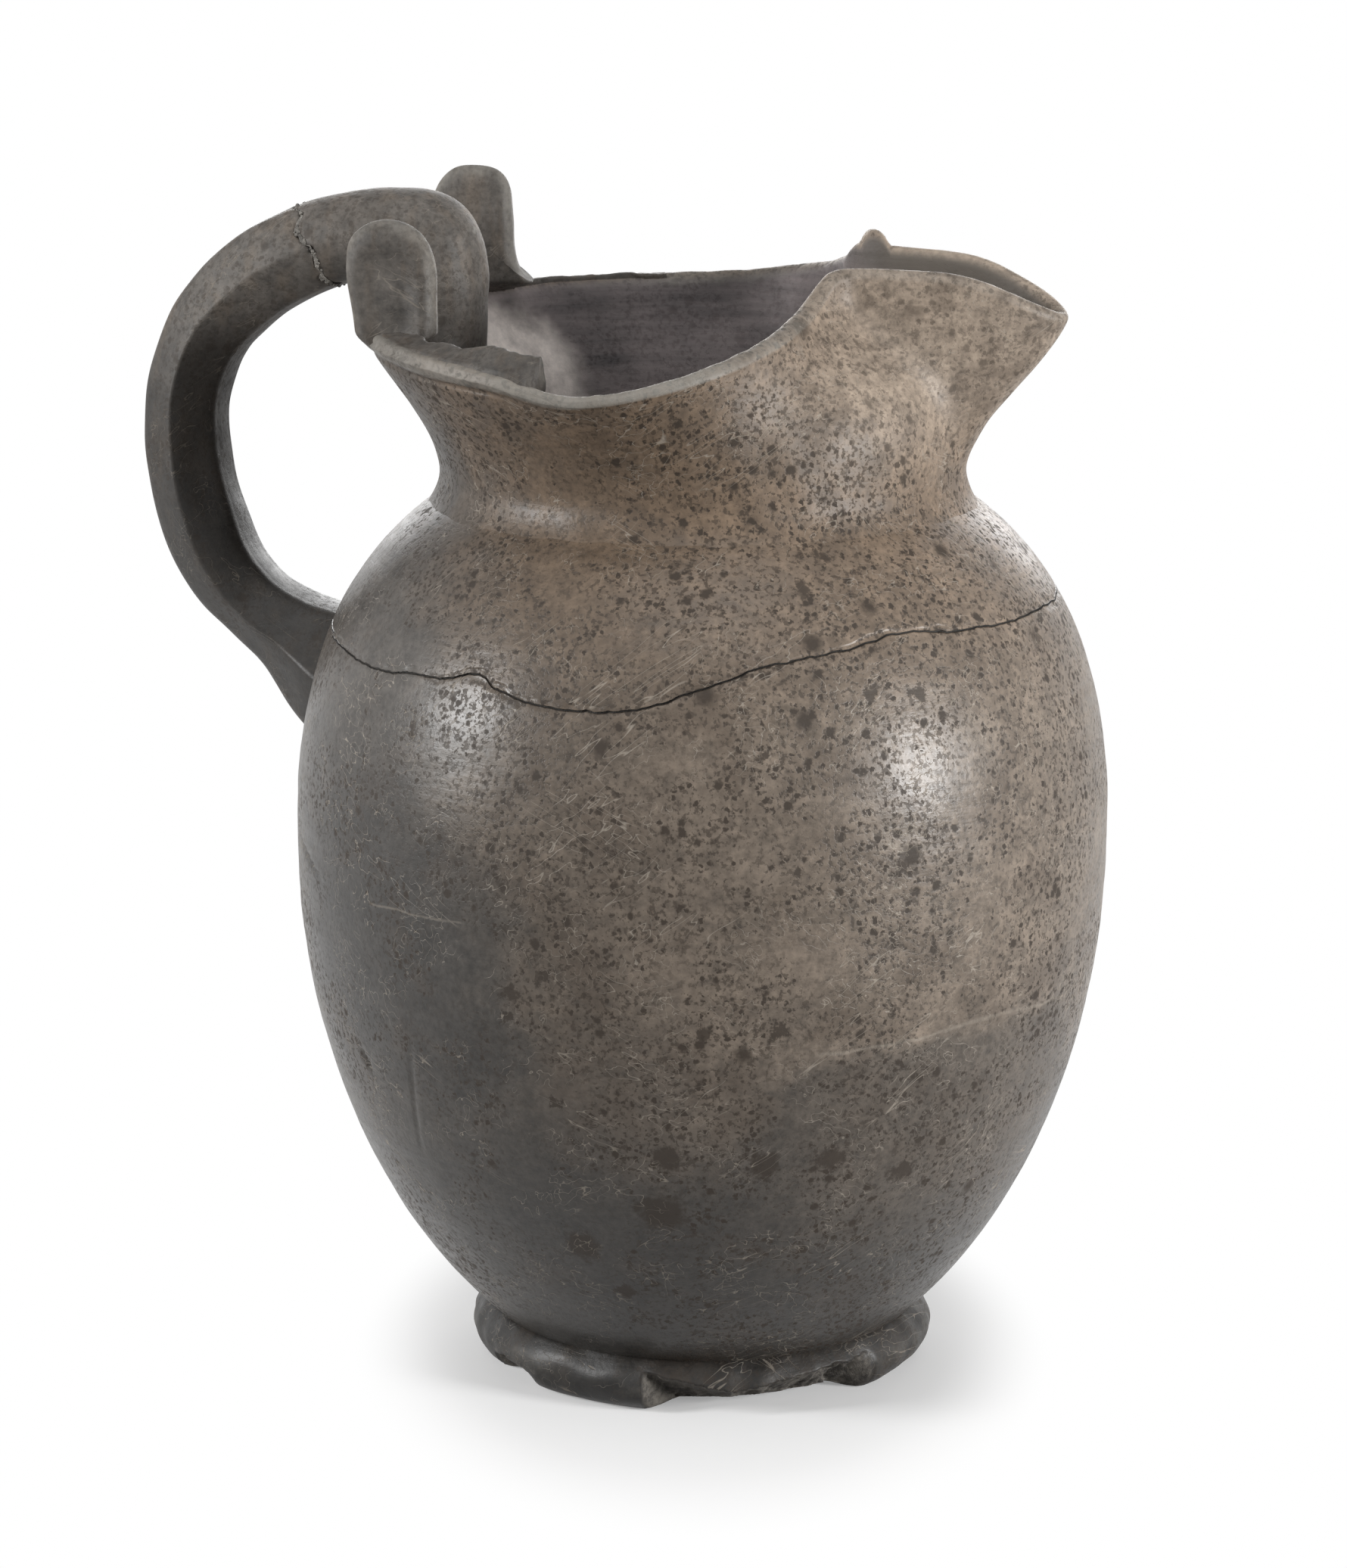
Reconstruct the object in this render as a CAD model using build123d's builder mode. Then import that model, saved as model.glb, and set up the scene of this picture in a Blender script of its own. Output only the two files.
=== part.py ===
from build123d import *
from math import asin, atan2, cos, pi, radians, sin, tan
import os

# Oinochoe: a clay jug with a high-swung handle, a three-lobed mouth and two lugs beside the handle.
# Lengths are millimetres and angles are degrees. The origin is the middle of the foot's resting
# face, +Z is up, +X points from the handle to the spout, and -Y is the near side.

# Body of revolution
belly_radius = 90.0
belly_height = 120.0
neck_radius = 57.3
neck_height = 196.0
shoulder_fullness = 2.42
base_radius = 48.0
base_height = 12.0
belly_fullness = 2.0
wall = 5.0
floor_under = 7.0
floor_thickness = 7.0

# Foot ring, a roll of clay under the base
foot_radius = 51.6
foot_bulge_height = 6.0
foot_contact_radius = 47.0
foot_inner_radius = 35.0
foot_seat = 1.0

# Chips out of the foot ring: where each starts, counted round from the spout, and how far it runs
front_chip_start = -92.0
front_chip_sweep = 48.0
front_chip_depth = 6.0
side_chip_start = -143.0
side_chip_sweep = 19.0
side_chip_depth = 2.0
chip_height = 10.0

# Break across the shoulder, seen from the side: places along the jug, each with its depth below
# the neck joint, and the fill in it
break_line = (
    (-105.0, 29.0),
    (-54.0, 30.6),
    (-29.0, 27.8),
    (-15.0, 32.0),
    (2.0, 32.4),
    (21.0, 26.6),
    (38.0, 22.2),
    (54.0, 19.4),
    (76.0, 21.0),
    (105.0, 20.0),
)
mend_gap = 0.8

# Neck and mouth: a short collar, then the flare to the three-lobed outline, before the rim is cut
collar_height = 3.0
flare_height = 44.5
brow_height = 11.0
spout_reach = 81.5
spout_taper = 1.7
pinch_radius = 39.0
pinch_angle = 32.0
lobe_radius = 76.0
lobe_angle = 104.0
back_radius = 76.5
lip = 4.2
mouth_tilt = 4.7

# Rim line, seen from the side: its rise above the neck joint at named places along the jug
rim_back_rise = 34.6
rim_back_at = -75.0
rim_dip_rise = 34.4
rim_dip_at = -20.0
rim_ramp_rise = 40.0
rim_ramp_at = 22.0
rim_step_rise = 45.5
rim_step_at = 31.0
rim_corner_rise = 52.0
rim_corner_at = 35.0
rim_spout_rise = 51.2
rim_spout_at = 57.0
rim_tip_rise = 41.0
rim_tip_at = 81.0

# Handle, a thick strap in the plane of the spout: its root and heel from the belly and the neck
# joint, its crown and inner end from the neck, the shares of the runs before and after each inner
# corner that its bend may take up, then its section and its break
root_sink = 11.0
root_drop = 46.5
heel_reach = 29.0
heel_drop = 17.0
crown_rise = 54.5
turn_reach = 2.2
end_rise = 4.0
bend_shares = ((0.46, 0.32), (0.65, 0.80), (0.18, 0.30))
handle_width = 25.0
handle_thickness = 17.5
handle_corner = 6.0
handle_corner_limit = 0.4
handle_break_reach = 26.5
handle_break_rise = 52.0
handle_break_lean = 16.0
handle_mend_gap = 0.9

# Lugs beside the handle, and the strips of clay that run from them along the rim
lug_reach = 2.7
lug_side = 35.0
lug_rise = 64.0
lug_height = 31.0
lug_width = 17.4
lug_foot_width = 13.0
lug_foot_shift = 2.8
lug_thickness = 8.0
near_lug_shift = -0.7
far_lug_shift = -2.4
arm_length = 41.0
near_arm_rise = 6.0
near_arm_end_rise = 4.0
far_arm_rise = 2.5
far_arm_end_rise = 2.0
arm_width = 8.0

# Steps of the drawn curves: points on each half of the body's outline, degrees between points round
# the mouth, and levels of the flare
curve_steps = 7
outline_step = 10
flare_steps = 4

# Past every face of the jug
clear = 150.0
tilt = radians(mouth_tilt)
tilt_slope = tan(tilt)
far_way = (0, cos(tilt), sin(tilt))
near_way = (0, -cos(tilt), -sin(tilt))


def body_curve(start_height, inset):
    """Half outline of the body from a height up to the neck, moved inward by an inset."""
    widest = belly_radius - inset
    points = []
    ends = (
        (-1, base_radius - inset, belly_height - base_height, belly_fullness, belly_height - start_height),
        (1, neck_radius - inset, neck_height - belly_height, shoulder_fullness, neck_height - belly_height),
    )
    for way, end_radius, rise, fullness, stop in ends:
        span = rise / (1 - (end_radius / widest) ** fullness) ** (1 / fullness)
        last = asin((stop / span) ** (fullness / 2))
        for step in range(1, curve_steps + 1):
            turn = last * step / curve_steps
            radius = widest * cos(turn) ** (2 / fullness)
            height = belly_height + way * span * sin(turn) ** (2 / fullness)
            points.append((radius, height))
    points.append((widest, belly_height))
    return sorted(points, key=lambda point: point[1])


def body_core():
    """The body as if it were solid: what the foot and the handle are shaped against."""
    outer = body_curve(floor_under, 0)
    with BuildPart() as solid:
        with BuildSketch(Plane.XZ):
            with BuildLine():
                Spline(*outer)
                Polyline(outer[-1], (0, neck_height), (0, floor_under), outer[0])
            make_face()
        revolve(axis=Axis.Z)
    return solid.part


def body_shell():
    """The thrown body with its floor, from the base to the neck joint."""
    outer = body_curve(floor_under, 0)
    inner = body_curve(floor_under + floor_thickness, wall)
    with BuildPart() as shell:
        with BuildSketch(Plane.XZ):
            with BuildLine():
                Spline(*outer)
                Line(outer[-1], inner[-1])
                Spline(*reversed(inner))
                Polyline(inner[0], (0, inner[0][1]), (0, floor_under), outer[0])
            make_face()
        revolve(axis=Axis.Z)
    return shell.part


def break_zone(low_shift, high_shift):
    """Side view of the space above, below or between two copies of the break line."""
    back, front = break_line[0][0], break_line[-1][0]
    with BuildSketch(Plane.XZ) as zone:
        with BuildLine():
            if low_shift is None:
                low = Line((back, -clear), (front, -clear))
            else:
                low = Spline(*[(place, neck_height - depth + low_shift) for place, depth in break_line])
            if high_shift is None:
                high = Line((back, neck_height + clear), (front, neck_height + clear))
            else:
                high = Spline(*[(place, neck_height - depth + high_shift) for place, depth in break_line])
            Line(low @ 0, high @ 0)
            Line(low @ 1, high @ 1)
        make_face()
    return zone.sketch


def mouth_radius(angle):
    """Radius of the three-lobed outline at full flare, at an angle from the spout."""
    side = abs(angle)
    if side < pinch_angle:
        share = (0.5 + 0.5 * cos(pi * side / pinch_angle)) ** spout_taper
        return pinch_radius + (spout_reach - pinch_radius) * share
    if side < lobe_angle:
        share = 0.5 - 0.5 * cos(pi * (side - pinch_angle) / (lobe_angle - pinch_angle))
        return pinch_radius + (lobe_radius - pinch_radius) * share
    share = 0.5 - 0.5 * cos(pi * (side - lobe_angle) / (180 - lobe_angle))
    return lobe_radius + (back_radius - lobe_radius) * share


def neck_outline(flare, inset):
    """Points round the neck at a share of its flare, moved inward by an inset."""

    def place(angle):
        radius = neck_radius + (mouth_radius(angle) - neck_radius) * flare
        return radius * cos(radians(angle)), radius * sin(radians(angle))

    points = []
    for angle in range(-180, 180, outline_step):
        x, y = place(angle)
        (x_before, y_before), (x_after, y_after) = place(angle - 1), place(angle + 1)
        along = atan2(y_after - y_before, x_after - x_before)
        points.append((x - inset * sin(along), y + inset * cos(along)))
    return points


def flare_solid(low_inset, high_inset):
    """The neck as if it were solid, moved inward by an inset that changes on the way up."""
    levels = [(0, 0)]
    for step in range(flare_steps + 1):
        share = step / flare_steps
        levels.append((collar_height + flare_height * share, 0.5 - 0.5 * cos(pi * share)))
    top = collar_height + flare_height + brow_height
    levels.append((top, 1))
    with BuildPart() as solid:
        for height, flare in levels:
            lean = tilt * height / top
            level = Plane(
                origin=(0, 0, neck_height + height),
                x_dir=(1, 0, 0),
                z_dir=(0, -sin(lean), cos(lean)),
            )
            with BuildSketch(level):
                with BuildLine():
                    inset = low_inset + (high_inset - low_inset) * flare
                    Spline(*neck_outline(flare, inset), periodic=True)
                make_face()
        loft()
    return solid.part


def above_rim():
    """Side view of the space above the rim line."""
    rim_back = neck_height + rim_back_rise
    rim_corner = neck_height + rim_corner_rise
    rim_tip = neck_height + rim_tip_rise
    with BuildSketch(Plane.XZ) as space:
        with BuildLine():
            Line((-clear, rim_back), (rim_back_at, rim_back))
            Spline(
                (rim_back_at, rim_back),
                (rim_dip_at, neck_height + rim_dip_rise),
                (rim_ramp_at, neck_height + rim_ramp_rise),
                (rim_step_at, neck_height + rim_step_rise),
                (rim_corner_at, rim_corner),
            )
            Spline(
                (rim_corner_at, rim_corner),
                (rim_spout_at, neck_height + rim_spout_rise),
                (rim_tip_at, rim_tip),
            )
            Polyline(
                (rim_tip_at, rim_tip),
                (clear, rim_tip),
                (clear, rim_corner + clear),
                (-clear, rim_corner + clear),
                (-clear, rim_back),
            )
        make_face()
    return space.sketch


core = body_core()
shell = body_shell()
flare_outside = flare_solid(0, 0)
flare_inside = flare_solid(wall, lip)
arm_inside = flare_solid(arm_width, arm_width)

with BuildPart() as lower_body:
    add(shell)
    extrude(break_zone(None, -mend_gap), amount=clear, both=True, mode=Mode.INTERSECT)
lower_body.part.label = "lower_body"

with BuildPart() as shoulder_mend:
    add(shell)
    extrude(break_zone(-mend_gap, 0), amount=clear, both=True, mode=Mode.INTERSECT)
shoulder_mend.part.label = "shoulder_mend"

with BuildPart() as upper_body:
    add(shell)
    extrude(break_zone(0, None), amount=clear, both=True, mode=Mode.INTERSECT)
upper_body.part.label = "upper_body"

with BuildPart() as foot_ring:
    with BuildSketch(Plane.XZ):
        with BuildLine():
            Line((foot_inner_radius, 0), (foot_contact_radius, 0))
            bulge = ThreePointArc(
                (foot_contact_radius, 0),
                (foot_radius, foot_bulge_height),
                (base_radius - foot_seat, base_height),
            )
            Polyline(bulge @ 1, (foot_inner_radius, base_height), (foot_inner_radius, 0))
        make_face()
    revolve(axis=Axis.Z)
    add(core, mode=Mode.SUBTRACT)
    chips = (
        (front_chip_start, front_chip_sweep, front_chip_depth),
        (side_chip_start, side_chip_sweep, side_chip_depth),
    )
    for start, sweep_angle, depth in chips:
        turn = radians(start)
        chip_plane = Plane((0, 0, 0), x_dir=(cos(turn), sin(turn), 0), z_dir=(sin(turn), -cos(turn), 0))
        with BuildSketch(chip_plane):
            Polygon(
                (foot_contact_radius - depth, 0),
                (foot_radius + clear, 0),
                (foot_radius + clear, chip_height),
                (foot_radius, chip_height),
                align=None,
            )
        revolve(axis=Axis.Z, revolution_arc=sweep_angle, mode=Mode.SUBTRACT)
foot_ring.part.label = "foot_ring"

with BuildPart() as neck:
    add(flare_outside)
    add(flare_inside, mode=Mode.SUBTRACT)
    extrude(above_rim(), amount=clear, dir=far_way, both=True, mode=Mode.SUBTRACT)
neck.part.label = "neck"

# Everything round the mouth below the rim line: the handle's inner root stays out of it
with BuildPart() as round_mouth:
    with Locations((0, 0, neck_height - collar_height)):
        Cylinder(clear, clear, align=(Align.CENTER, Align.CENTER, Align.MIN))
    add(flare_inside, mode=Mode.SUBTRACT)
    extrude(above_rim(), amount=clear, dir=far_way, both=True, mode=Mode.SUBTRACT)

# The handle's middle line: straight runs joined by bends that take up most of each run
heel_at = -belly_radius - heel_reach
turn_at = -neck_radius - turn_reach
corners = (
    (root_sink - belly_radius, neck_height - root_drop),
    (heel_at, neck_height - heel_drop),
    (heel_at, neck_height + crown_rise),
    (turn_at, neck_height + crown_rise),
    (turn_at, neck_height + end_rise),
)
bends = []
for before, corner, after, shares in zip(corners, corners[1:], corners[2:], bend_shares):
    run_in = Vector(*corner) - Vector(*before)
    run_out = Vector(*after) - Vector(*corner)
    half_turn = radians(run_in.get_angle(run_out)) / 2
    bends.append(min(run_in.length * shares[0], run_out.length * shares[1]) / tan(half_turn))
with BuildLine(Plane.XZ) as handle_path:
    FilletPolyline(*corners, radius=bends)
middle_line = handle_path.wire()

with BuildPart() as handle:
    with BuildSketch(Plane(origin=middle_line @ 0, x_dir=(0, 1, 0), z_dir=middle_line % 0)):
        corner = min(handle_corner, handle_corner_limit * handle_thickness)
        RectangleRounded(handle_width, handle_thickness, corner)
    sweep(path=middle_line)
lean = radians(handle_break_lean)
break_plane = Plane(
    origin=(turn_at - handle_break_reach, 0, neck_height + handle_break_rise),
    x_dir=(0, 1, 0),
    z_dir=(cos(lean), 0, sin(lean)),
)
mend_start = break_plane.offset(-handle_mend_gap / 2)
mend_end = break_plane.offset(handle_mend_gap / 2)

with BuildPart() as handle_lower:
    add(handle.part)
    split(bisect_by=mend_start, keep=Keep.BOTTOM)
    add(core, mode=Mode.SUBTRACT)
handle_lower.part.label = "handle_lower"

with BuildPart() as handle_mend:
    add(handle.part)
    split(bisect_by=mend_start, keep=Keep.TOP)
    split(bisect_by=mend_end, keep=Keep.BOTTOM)
handle_mend.part.label = "handle_mend"

with BuildPart() as handle_upper:
    add(handle.part)
    split(bisect_by=mend_end, keep=Keep.TOP)
    add(round_mouth.part, mode=Mode.SUBTRACT)
handle_upper.part.label = "handle_upper"

os.makedirs("parts", exist_ok=True)
sides = (
    ("near", -1, near_way, near_lug_shift, near_arm_rise, near_arm_end_rise),
    ("far", 1, far_way, far_lug_shift, far_arm_rise, far_arm_end_rise),
)
rim_level = neck_height + rim_dip_rise
for side_name, side, way, lug_shift, arm_rise, arm_end_rise in sides:
    lug_top = neck_height + lug_rise + side * lug_side * tilt_slope
    middle = lug_shift - neck_radius - lug_reach
    with BuildPart() as lug:
        with BuildSketch(Plane.XZ.offset(-side * lug_side)):
            with Locations((middle, lug_top - lug_width / 2)):
                Circle(lug_width / 2)
            with Locations((middle + lug_foot_shift, lug_top - lug_height + lug_foot_width / 2)):
                Circle(lug_foot_width / 2)
            make_hull()
        extrude(amount=lug_thickness / 2, both=True)
        add(neck.part, mode=Mode.SUBTRACT)
    lug.part.label = f"{side_name}_lug"
    export_step(lug.part, f"parts/{side_name}_lug.step")

    arm_stop = middle + arm_length
    with BuildPart() as arm:
        add(flare_outside)
        add(arm_inside, mode=Mode.SUBTRACT)
        with BuildSketch(Plane.XZ):
            add(above_rim())
            Polygon(
                (middle, rim_level - clear),
                (arm_stop, rim_level - clear),
                (arm_stop, rim_level + arm_end_rise),
                (middle, rim_level + arm_rise),
                align=None,
                mode=Mode.INTERSECT,
            )
        extrude(amount=clear, dir=way, mode=Mode.INTERSECT)
        with Locations((0, 0, rim_level)):
            Box(2 * clear, 2 * lug_side, 2 * clear, mode=Mode.SUBTRACT)
        add(lug.part, mode=Mode.SUBTRACT)
    arm.part.label = f"{side_name}_rim_arm"
    export_step(arm.part, f"parts/{side_name}_rim_arm.step")

export_step(foot_ring.part, "parts/foot_ring.step")
export_step(lower_body.part, "parts/lower_body.step")
export_step(shoulder_mend.part, "parts/shoulder_mend.step")
export_step(upper_body.part, "parts/upper_body.step")
export_step(neck.part, "parts/neck.step")
export_step(handle_lower.part, "parts/handle_lower.step")
export_step(handle_mend.part, "parts/handle_mend.step")
export_step(handle_upper.part, "parts/handle_upper.step")
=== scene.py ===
import functools
import math

import bpy
import numpy as np
from bpy.props import FloatProperty, FloatVectorProperty, PointerProperty
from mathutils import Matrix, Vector


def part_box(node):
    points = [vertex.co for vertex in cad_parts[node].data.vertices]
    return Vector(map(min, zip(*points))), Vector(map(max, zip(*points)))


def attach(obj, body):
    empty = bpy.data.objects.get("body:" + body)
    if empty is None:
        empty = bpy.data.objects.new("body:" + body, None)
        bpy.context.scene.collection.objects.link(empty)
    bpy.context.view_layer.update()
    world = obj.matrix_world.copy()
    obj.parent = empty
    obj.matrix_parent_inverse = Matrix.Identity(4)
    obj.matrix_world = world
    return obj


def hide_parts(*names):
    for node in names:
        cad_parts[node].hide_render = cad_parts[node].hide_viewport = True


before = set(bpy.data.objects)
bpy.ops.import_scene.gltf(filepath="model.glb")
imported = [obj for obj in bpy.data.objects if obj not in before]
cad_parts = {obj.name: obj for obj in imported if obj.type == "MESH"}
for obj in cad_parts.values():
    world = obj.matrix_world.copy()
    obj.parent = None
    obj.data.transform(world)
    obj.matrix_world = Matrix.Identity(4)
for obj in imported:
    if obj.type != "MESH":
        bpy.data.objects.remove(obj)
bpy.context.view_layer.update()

bl_info = {
    "name": "Clay oinochoe",
    "version": (1, 0, 0),
    "blender": (4, 5, 0),
    "location": "3D View > Sidebar > Jug",
    "description": "Builds a mended clay jug with a three-lobed mouth over its CAD frame",
    "category": "Object",
}

MM = 0.001
BODY = "root"

# Break across the shoulder: degrees from the spout, and height in millimetres
BREAK_LINE = (
    (0, 174.9), (7, 175.3), (17, 175.1), (28, 175.4), (36, 175.8), (44, 176.8), (52, 175.3),
    (60, 173.8), (67, 172.5), (74, 169.6), (79, 167.6), (84, 165.0), (92, 163.4), (100, 163.8),
    (105, 165.0), (109, 166.6), (112, 168.3), (117, 166.8), (125, 166.3), (132, 165.4),
    (150, 166.4), (180, 167.0),
)
BREAK_LOW, BREAK_SPAN = 160.0, 20.0

# Small cracks and a slit in the belly: start and end as degrees from the spout and height in
# millimetres, then width and depth
BELLY_CRACKS = (
    (-155.0, 123.0, -142.0, 117.0, 0.9, 0.8),
    (-136.0, 81.2, -134.0, 77.6, 1.0, 1.6),
    (-121.6, 90.5, -125.6, 61.0, 0.9, 0.35),
)

# Dark stains: place on the jug in millimetres, then radius
STAINS = (
    (8.9, -77.2, 56.1, 6.2), (-8.9, -72.4, 45.3, 5.2), (-1.0, -66.3, 33.7, 2.6),
    (11.1, -81.7, 69.3, 3.6), (30.7, -75.8, 67.2, 4.2), (43.8, -69.5, 67.8, 3.4),
    (56.1, -57.4, 62.5, 3.4), (50.1, -65.4, 165.4, 2.4), (58.9, -57.8, 165.1, 2.0),
    (36.8, -51.5, 191.5, 2.4), (34.5, -59.4, 186.4, 2.2), (71.9, -53.0, 137.6, 1.8),
    (58.1, -68.4, 130.9, 2.4), (-13.5, -88.6, 108.5, 2.0), (-20.5, -86.8, 103.6, 2.2),
    (-21.6, -85.9, 98.4, 1.6), (20.1, -86.2, 98.0, 1.8), (34.9, -81.2, 97.6, 2.0),
    (-11.9, -84.6, 79.9, 1.5), (38.1, -81.1, 131.2, 1.5), (31.2, -80.0, 155.0, 1.5),
)

# Pale scratches and one pale tide line: start and end as degrees from the spout and height in
# millimetres, then width
PALE_LINES = (
    (-128.4, 117.4, -110.2, 117.9, 0.45),
    (-62.0, 91.8, -30.0, 95.0, 0.70),
    (-32.0, 95.0, -15.0, 92.4, 0.70),
)

# Fine scratches: turn of their direction about three axes, and width in the noise they come from
SCRATCHES = (((0.4, 0.9, 0.2), 0.011), ((-0.7, 0.3, 0.9), 0.013), ((0.2, -0.5, 1.7), 0.012))

# Specks: size of their cells in metres, odds they start at, and radius as a share of a cell
SPECKS = ((0.0015, 0.22, 0.46), (0.0034, 0.44, 0.36), (0.0100, 0.66, 0.26))

# The ways that the two warm clouds face, in degrees from the spout
WARM_WAY, FAR_WARM_WAY = -38.0, 78.0

# Places of the soot on the belly and of the pale patch in the mouth, in metres
SOOT_PLACE = (-0.060, -0.068, 0.114)
PALE_PLACE = (-0.048, 0.030, 0.216)

# Finish of the smoked clay on the handle, lugs and strips
SMOKED = {"smoke": 1.0, "specks": 0.45, "scratches": 0.5, "dullness": 0.10}

# Rim line seen from the side: place along the jug and height, in millimetres
RIM_LINE = (
    (-90, 232.2), (-75, 232.0), (-55, 231.8), (-45, 231.4), (-35, 231.0), (-25, 230.7),
    (-15, 230.8), (-5, 231.4), (5, 233.0), (15, 235.3), (21.8, 237.2), (26.4, 239.0), (29.2, 241.0),
    (31.2, 243.6), (32.8, 246.6), (34.6, 248.2), (38, 248.1), (45, 247.8), (52, 247.5), (57, 247.0),
    (62, 245.8), (67, 243.8), (72, 241.4), (77, 239.0), (82, 236.6), (95, 232.0),
)

# What the near and far sides of the rim stand above that line: place along the jug and rise
NEAR_RIM_RISE = (
    (-95, 4.0), (-60, 4.2), (-50, 4.0), (-40, 4.0), (-30, 3.4), (-23, 1.8), (-17, 0.4), (-11, 0.0),
    (5, 0.0),
)
FAR_RIM_RISE = (
    (5, 0.0), (14.5, 0.0), (20.2, 0.3), (25.6, 1.5), (28.5, 1.9), (30.5, 1.6), (32.5, 0.6),
    (34.6, 0.0),
)

# Handle: middle of the strap along the jug and its height, thickness and width, from the shoulder
HANDLE_STATIONS = (
    (-78.0, 150.0, 33.0, 40.0), (-84.5, 153.6, 28.5, 36.0), (-90.5, 157.6, 22.6, 31.0),
    (-96.2, 161.6, 18.0, 27.6), (-102.7, 166.3, 15.8, 26.0), (-108.2, 171.8, 16.2, 25.4),
    (-112.0, 177.5, 17.0, 25.2), (-114.9, 184.5, 17.5, 25.0), (-117.0, 191.7, 17.5, 25.0),
    (-118.2, 198.9, 17.3, 25.0), (-118.7, 206.2, 17.1, 25.0), (-118.4, 213.5, 17.1, 25.0),
    (-116.7, 220.3, 17.2, 25.0), (-113.9, 226.7, 17.4, 25.0), (-109.7, 232.6, 17.8, 25.0),
    (-100.8, 240.6, 18.6, 25.0), (-90.4, 246.4, 19.4, 25.0), (-80.0, 249.9, 19.8, 25.0),
    (-70.4, 250.6, 20.6, 25.0), (-62.9, 247.8, 24.6, 25.0), (-59.8, 241.6, 22.0, 25.2),
    (-59.4, 235.0, 21.0, 25.6), (-58.6, 226.0, 18.4, 26.2), (-55.4, 216.0, 13.0, 27.0),
    (-52.8, 207.0, 8.4, 28.0), (-52.2, 200.0, 4.4, 28.0),
)

# Half sections of the strap, on its rise and on its crown: share across its thickness, from the
# outer face to the inner one, and of its half width
HANDLE_SECTION = (
    (1.0, 0.0), (0.985, 0.26), (0.92, 0.50), (0.50, 0.77), (0.07, 0.99), (-0.07, 0.99),
    (-0.50, 0.75), (-0.92, 0.48), (-0.985, 0.26), (-1.0, 0.0),
)
CROWN_SECTION = (
    (1.0, 0.0), (0.965, 0.28), (0.85, 0.55), (0.60, 0.79), (0.20, 0.96), (-0.20, 0.97),
    (-0.60, 0.80), (-0.88, 0.52), (-0.975, 0.26), (-1.0, 0.0),
)

# Outlines of the lugs along the jug and in height, in millimetres
NEAR_LUG = (
    (-59.0, 222.0), (-64.8, 225.4), (-67.2, 230.2), (-68.6, 236.0), (-69.2, 241.6),
    (-69.4, 247.6), (-68.6, 252.6), (-65.2, 256.0), (-60.4, 257.0), (-55.4, 255.6),
    (-52.0, 252.2), (-50.4, 246.6), (-49.9, 239.0), (-49.6, 231.0), (-50.6, 224.4),
)
FAR_LUG = (
    (-58.0, 227.0), (-62.6, 231.0), (-66.8, 238.0), (-69.8, 246.0), (-71.0, 253.0),
    (-69.8, 258.6), (-66.0, 262.0), (-60.6, 262.8), (-55.8, 261.6), (-53.0, 258.0),
    (-52.3, 252.0), (-52.2, 244.6), (-51.0, 239.0), (-47.4, 234.6), (-50.0, 228.0),
)

# Outline of a rim strip's section, inward from the lip and up, with heights above 0 as a share of
# the strip's own height
STRIP_SECTION = (
    (2.0, -1.4), (2.2, 0.08), (3.4, 0.36), (4.8, 0.68), (6.1, 0.93), (7.1, 0.98), (7.8, 0.66),
    (8.0, -0.4), (7.4, -2.0), (5.0, -2.6),
)

# Section of the foot ring: radius and height in millimetres
FOOT_SECTION = (
    (44.0, 13.6), (47.6, 12.6), (49.6, 11.0), (51.2, 8.6), (51.7, 6.2), (51.2, 3.8), (49.8, 1.6),
    (47.6, 0.25), (45.0, 0.0), (41.0, 0.0), (37.6, 0.2), (35.6, 1.2), (35.0, 3.4), (35.0, 6.4),
    (35.4, 7.6), (38.0, 9.4),
)

# Chips in the foot: start and end in degrees from the spout, depth in millimetres, and the scar's
# top at four places along it
FOOT_CHIPS = (
    (-92.0, -28.0, 6.0, (10.4, 5.6, 8.8, 9.6)),
    (-143.5, -123.0, 3.4, (4.0, 5.4, 5.0, 4.4)),
)
CHIP_PLACES = (0.0, 0.36, 0.68, 1.0)

# Softboxes: turn from the camera and height in degrees, distance, width and height in metres
SOFTBOXES = {
    "left": (-73.6, 19.7, 1.20, 0.24, 0.40),
    "right": (62.0, 9.5, 1.20, 0.28, 0.36),
    "top": (6.0, 70.0, 1.20, 0.80, 0.80),
    "back": (176.0, 16.0, 1.30, 1.30, 0.50),
}

# What the camera and softboxes point at, in metres
AIM = np.array((-0.00624, -0.00147, 0.130))
WHITE = (1.0, 1.0, 1.0, 1.0)


def length_prop(name, text, default):
    return FloatProperty(name=name, description=text, default=default, unit="LENGTH")


def turn_prop(name, text, degrees):
    return FloatProperty(name=name, description=text, default=math.radians(degrees), unit="ROTATION")


def power_prop(name, text, watts):
    return FloatProperty(name=name, description=text, default=watts, unit="POWER")


def colour_prop(name, text, default):
    return FloatVectorProperty(
        name=name, description=text, subtype="COLOR", size=3, min=0, max=1, default=default)


class JugSizes(bpy.types.PropertyGroup):
    """Sizes of the jug, with the CAD frame's own as defaults where it has them."""

    belly_radius: length_prop("Belly radius", "Widest radius of the body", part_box("lower_body")[1][1])
    belly_height: length_prop("Belly height", "Height of the widest place", 0.120)
    neck_radius: length_prop("Neck radius", "Radius at the neck joint", 0.0573)
    neck_height: length_prop("Neck height", "Height of the neck joint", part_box("upper_body")[1][2])
    base_radius: length_prop("Base radius", "Radius where the body meets the foot", 0.048)
    base_height: length_prop("Base height", "Height of that joint", 0.012)
    wall: length_prop("Wall", "Thickness of the thrown wall", 0.005)
    lip: length_prop("Lip", "Thickness of the lip", 0.0046)
    crack: length_prop("Crack", "Width of the filled break", 0.00034)
    mouth_tilt: turn_prop("Mouth tilt", "How far the mouth leans to the near side", 4.7)


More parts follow.
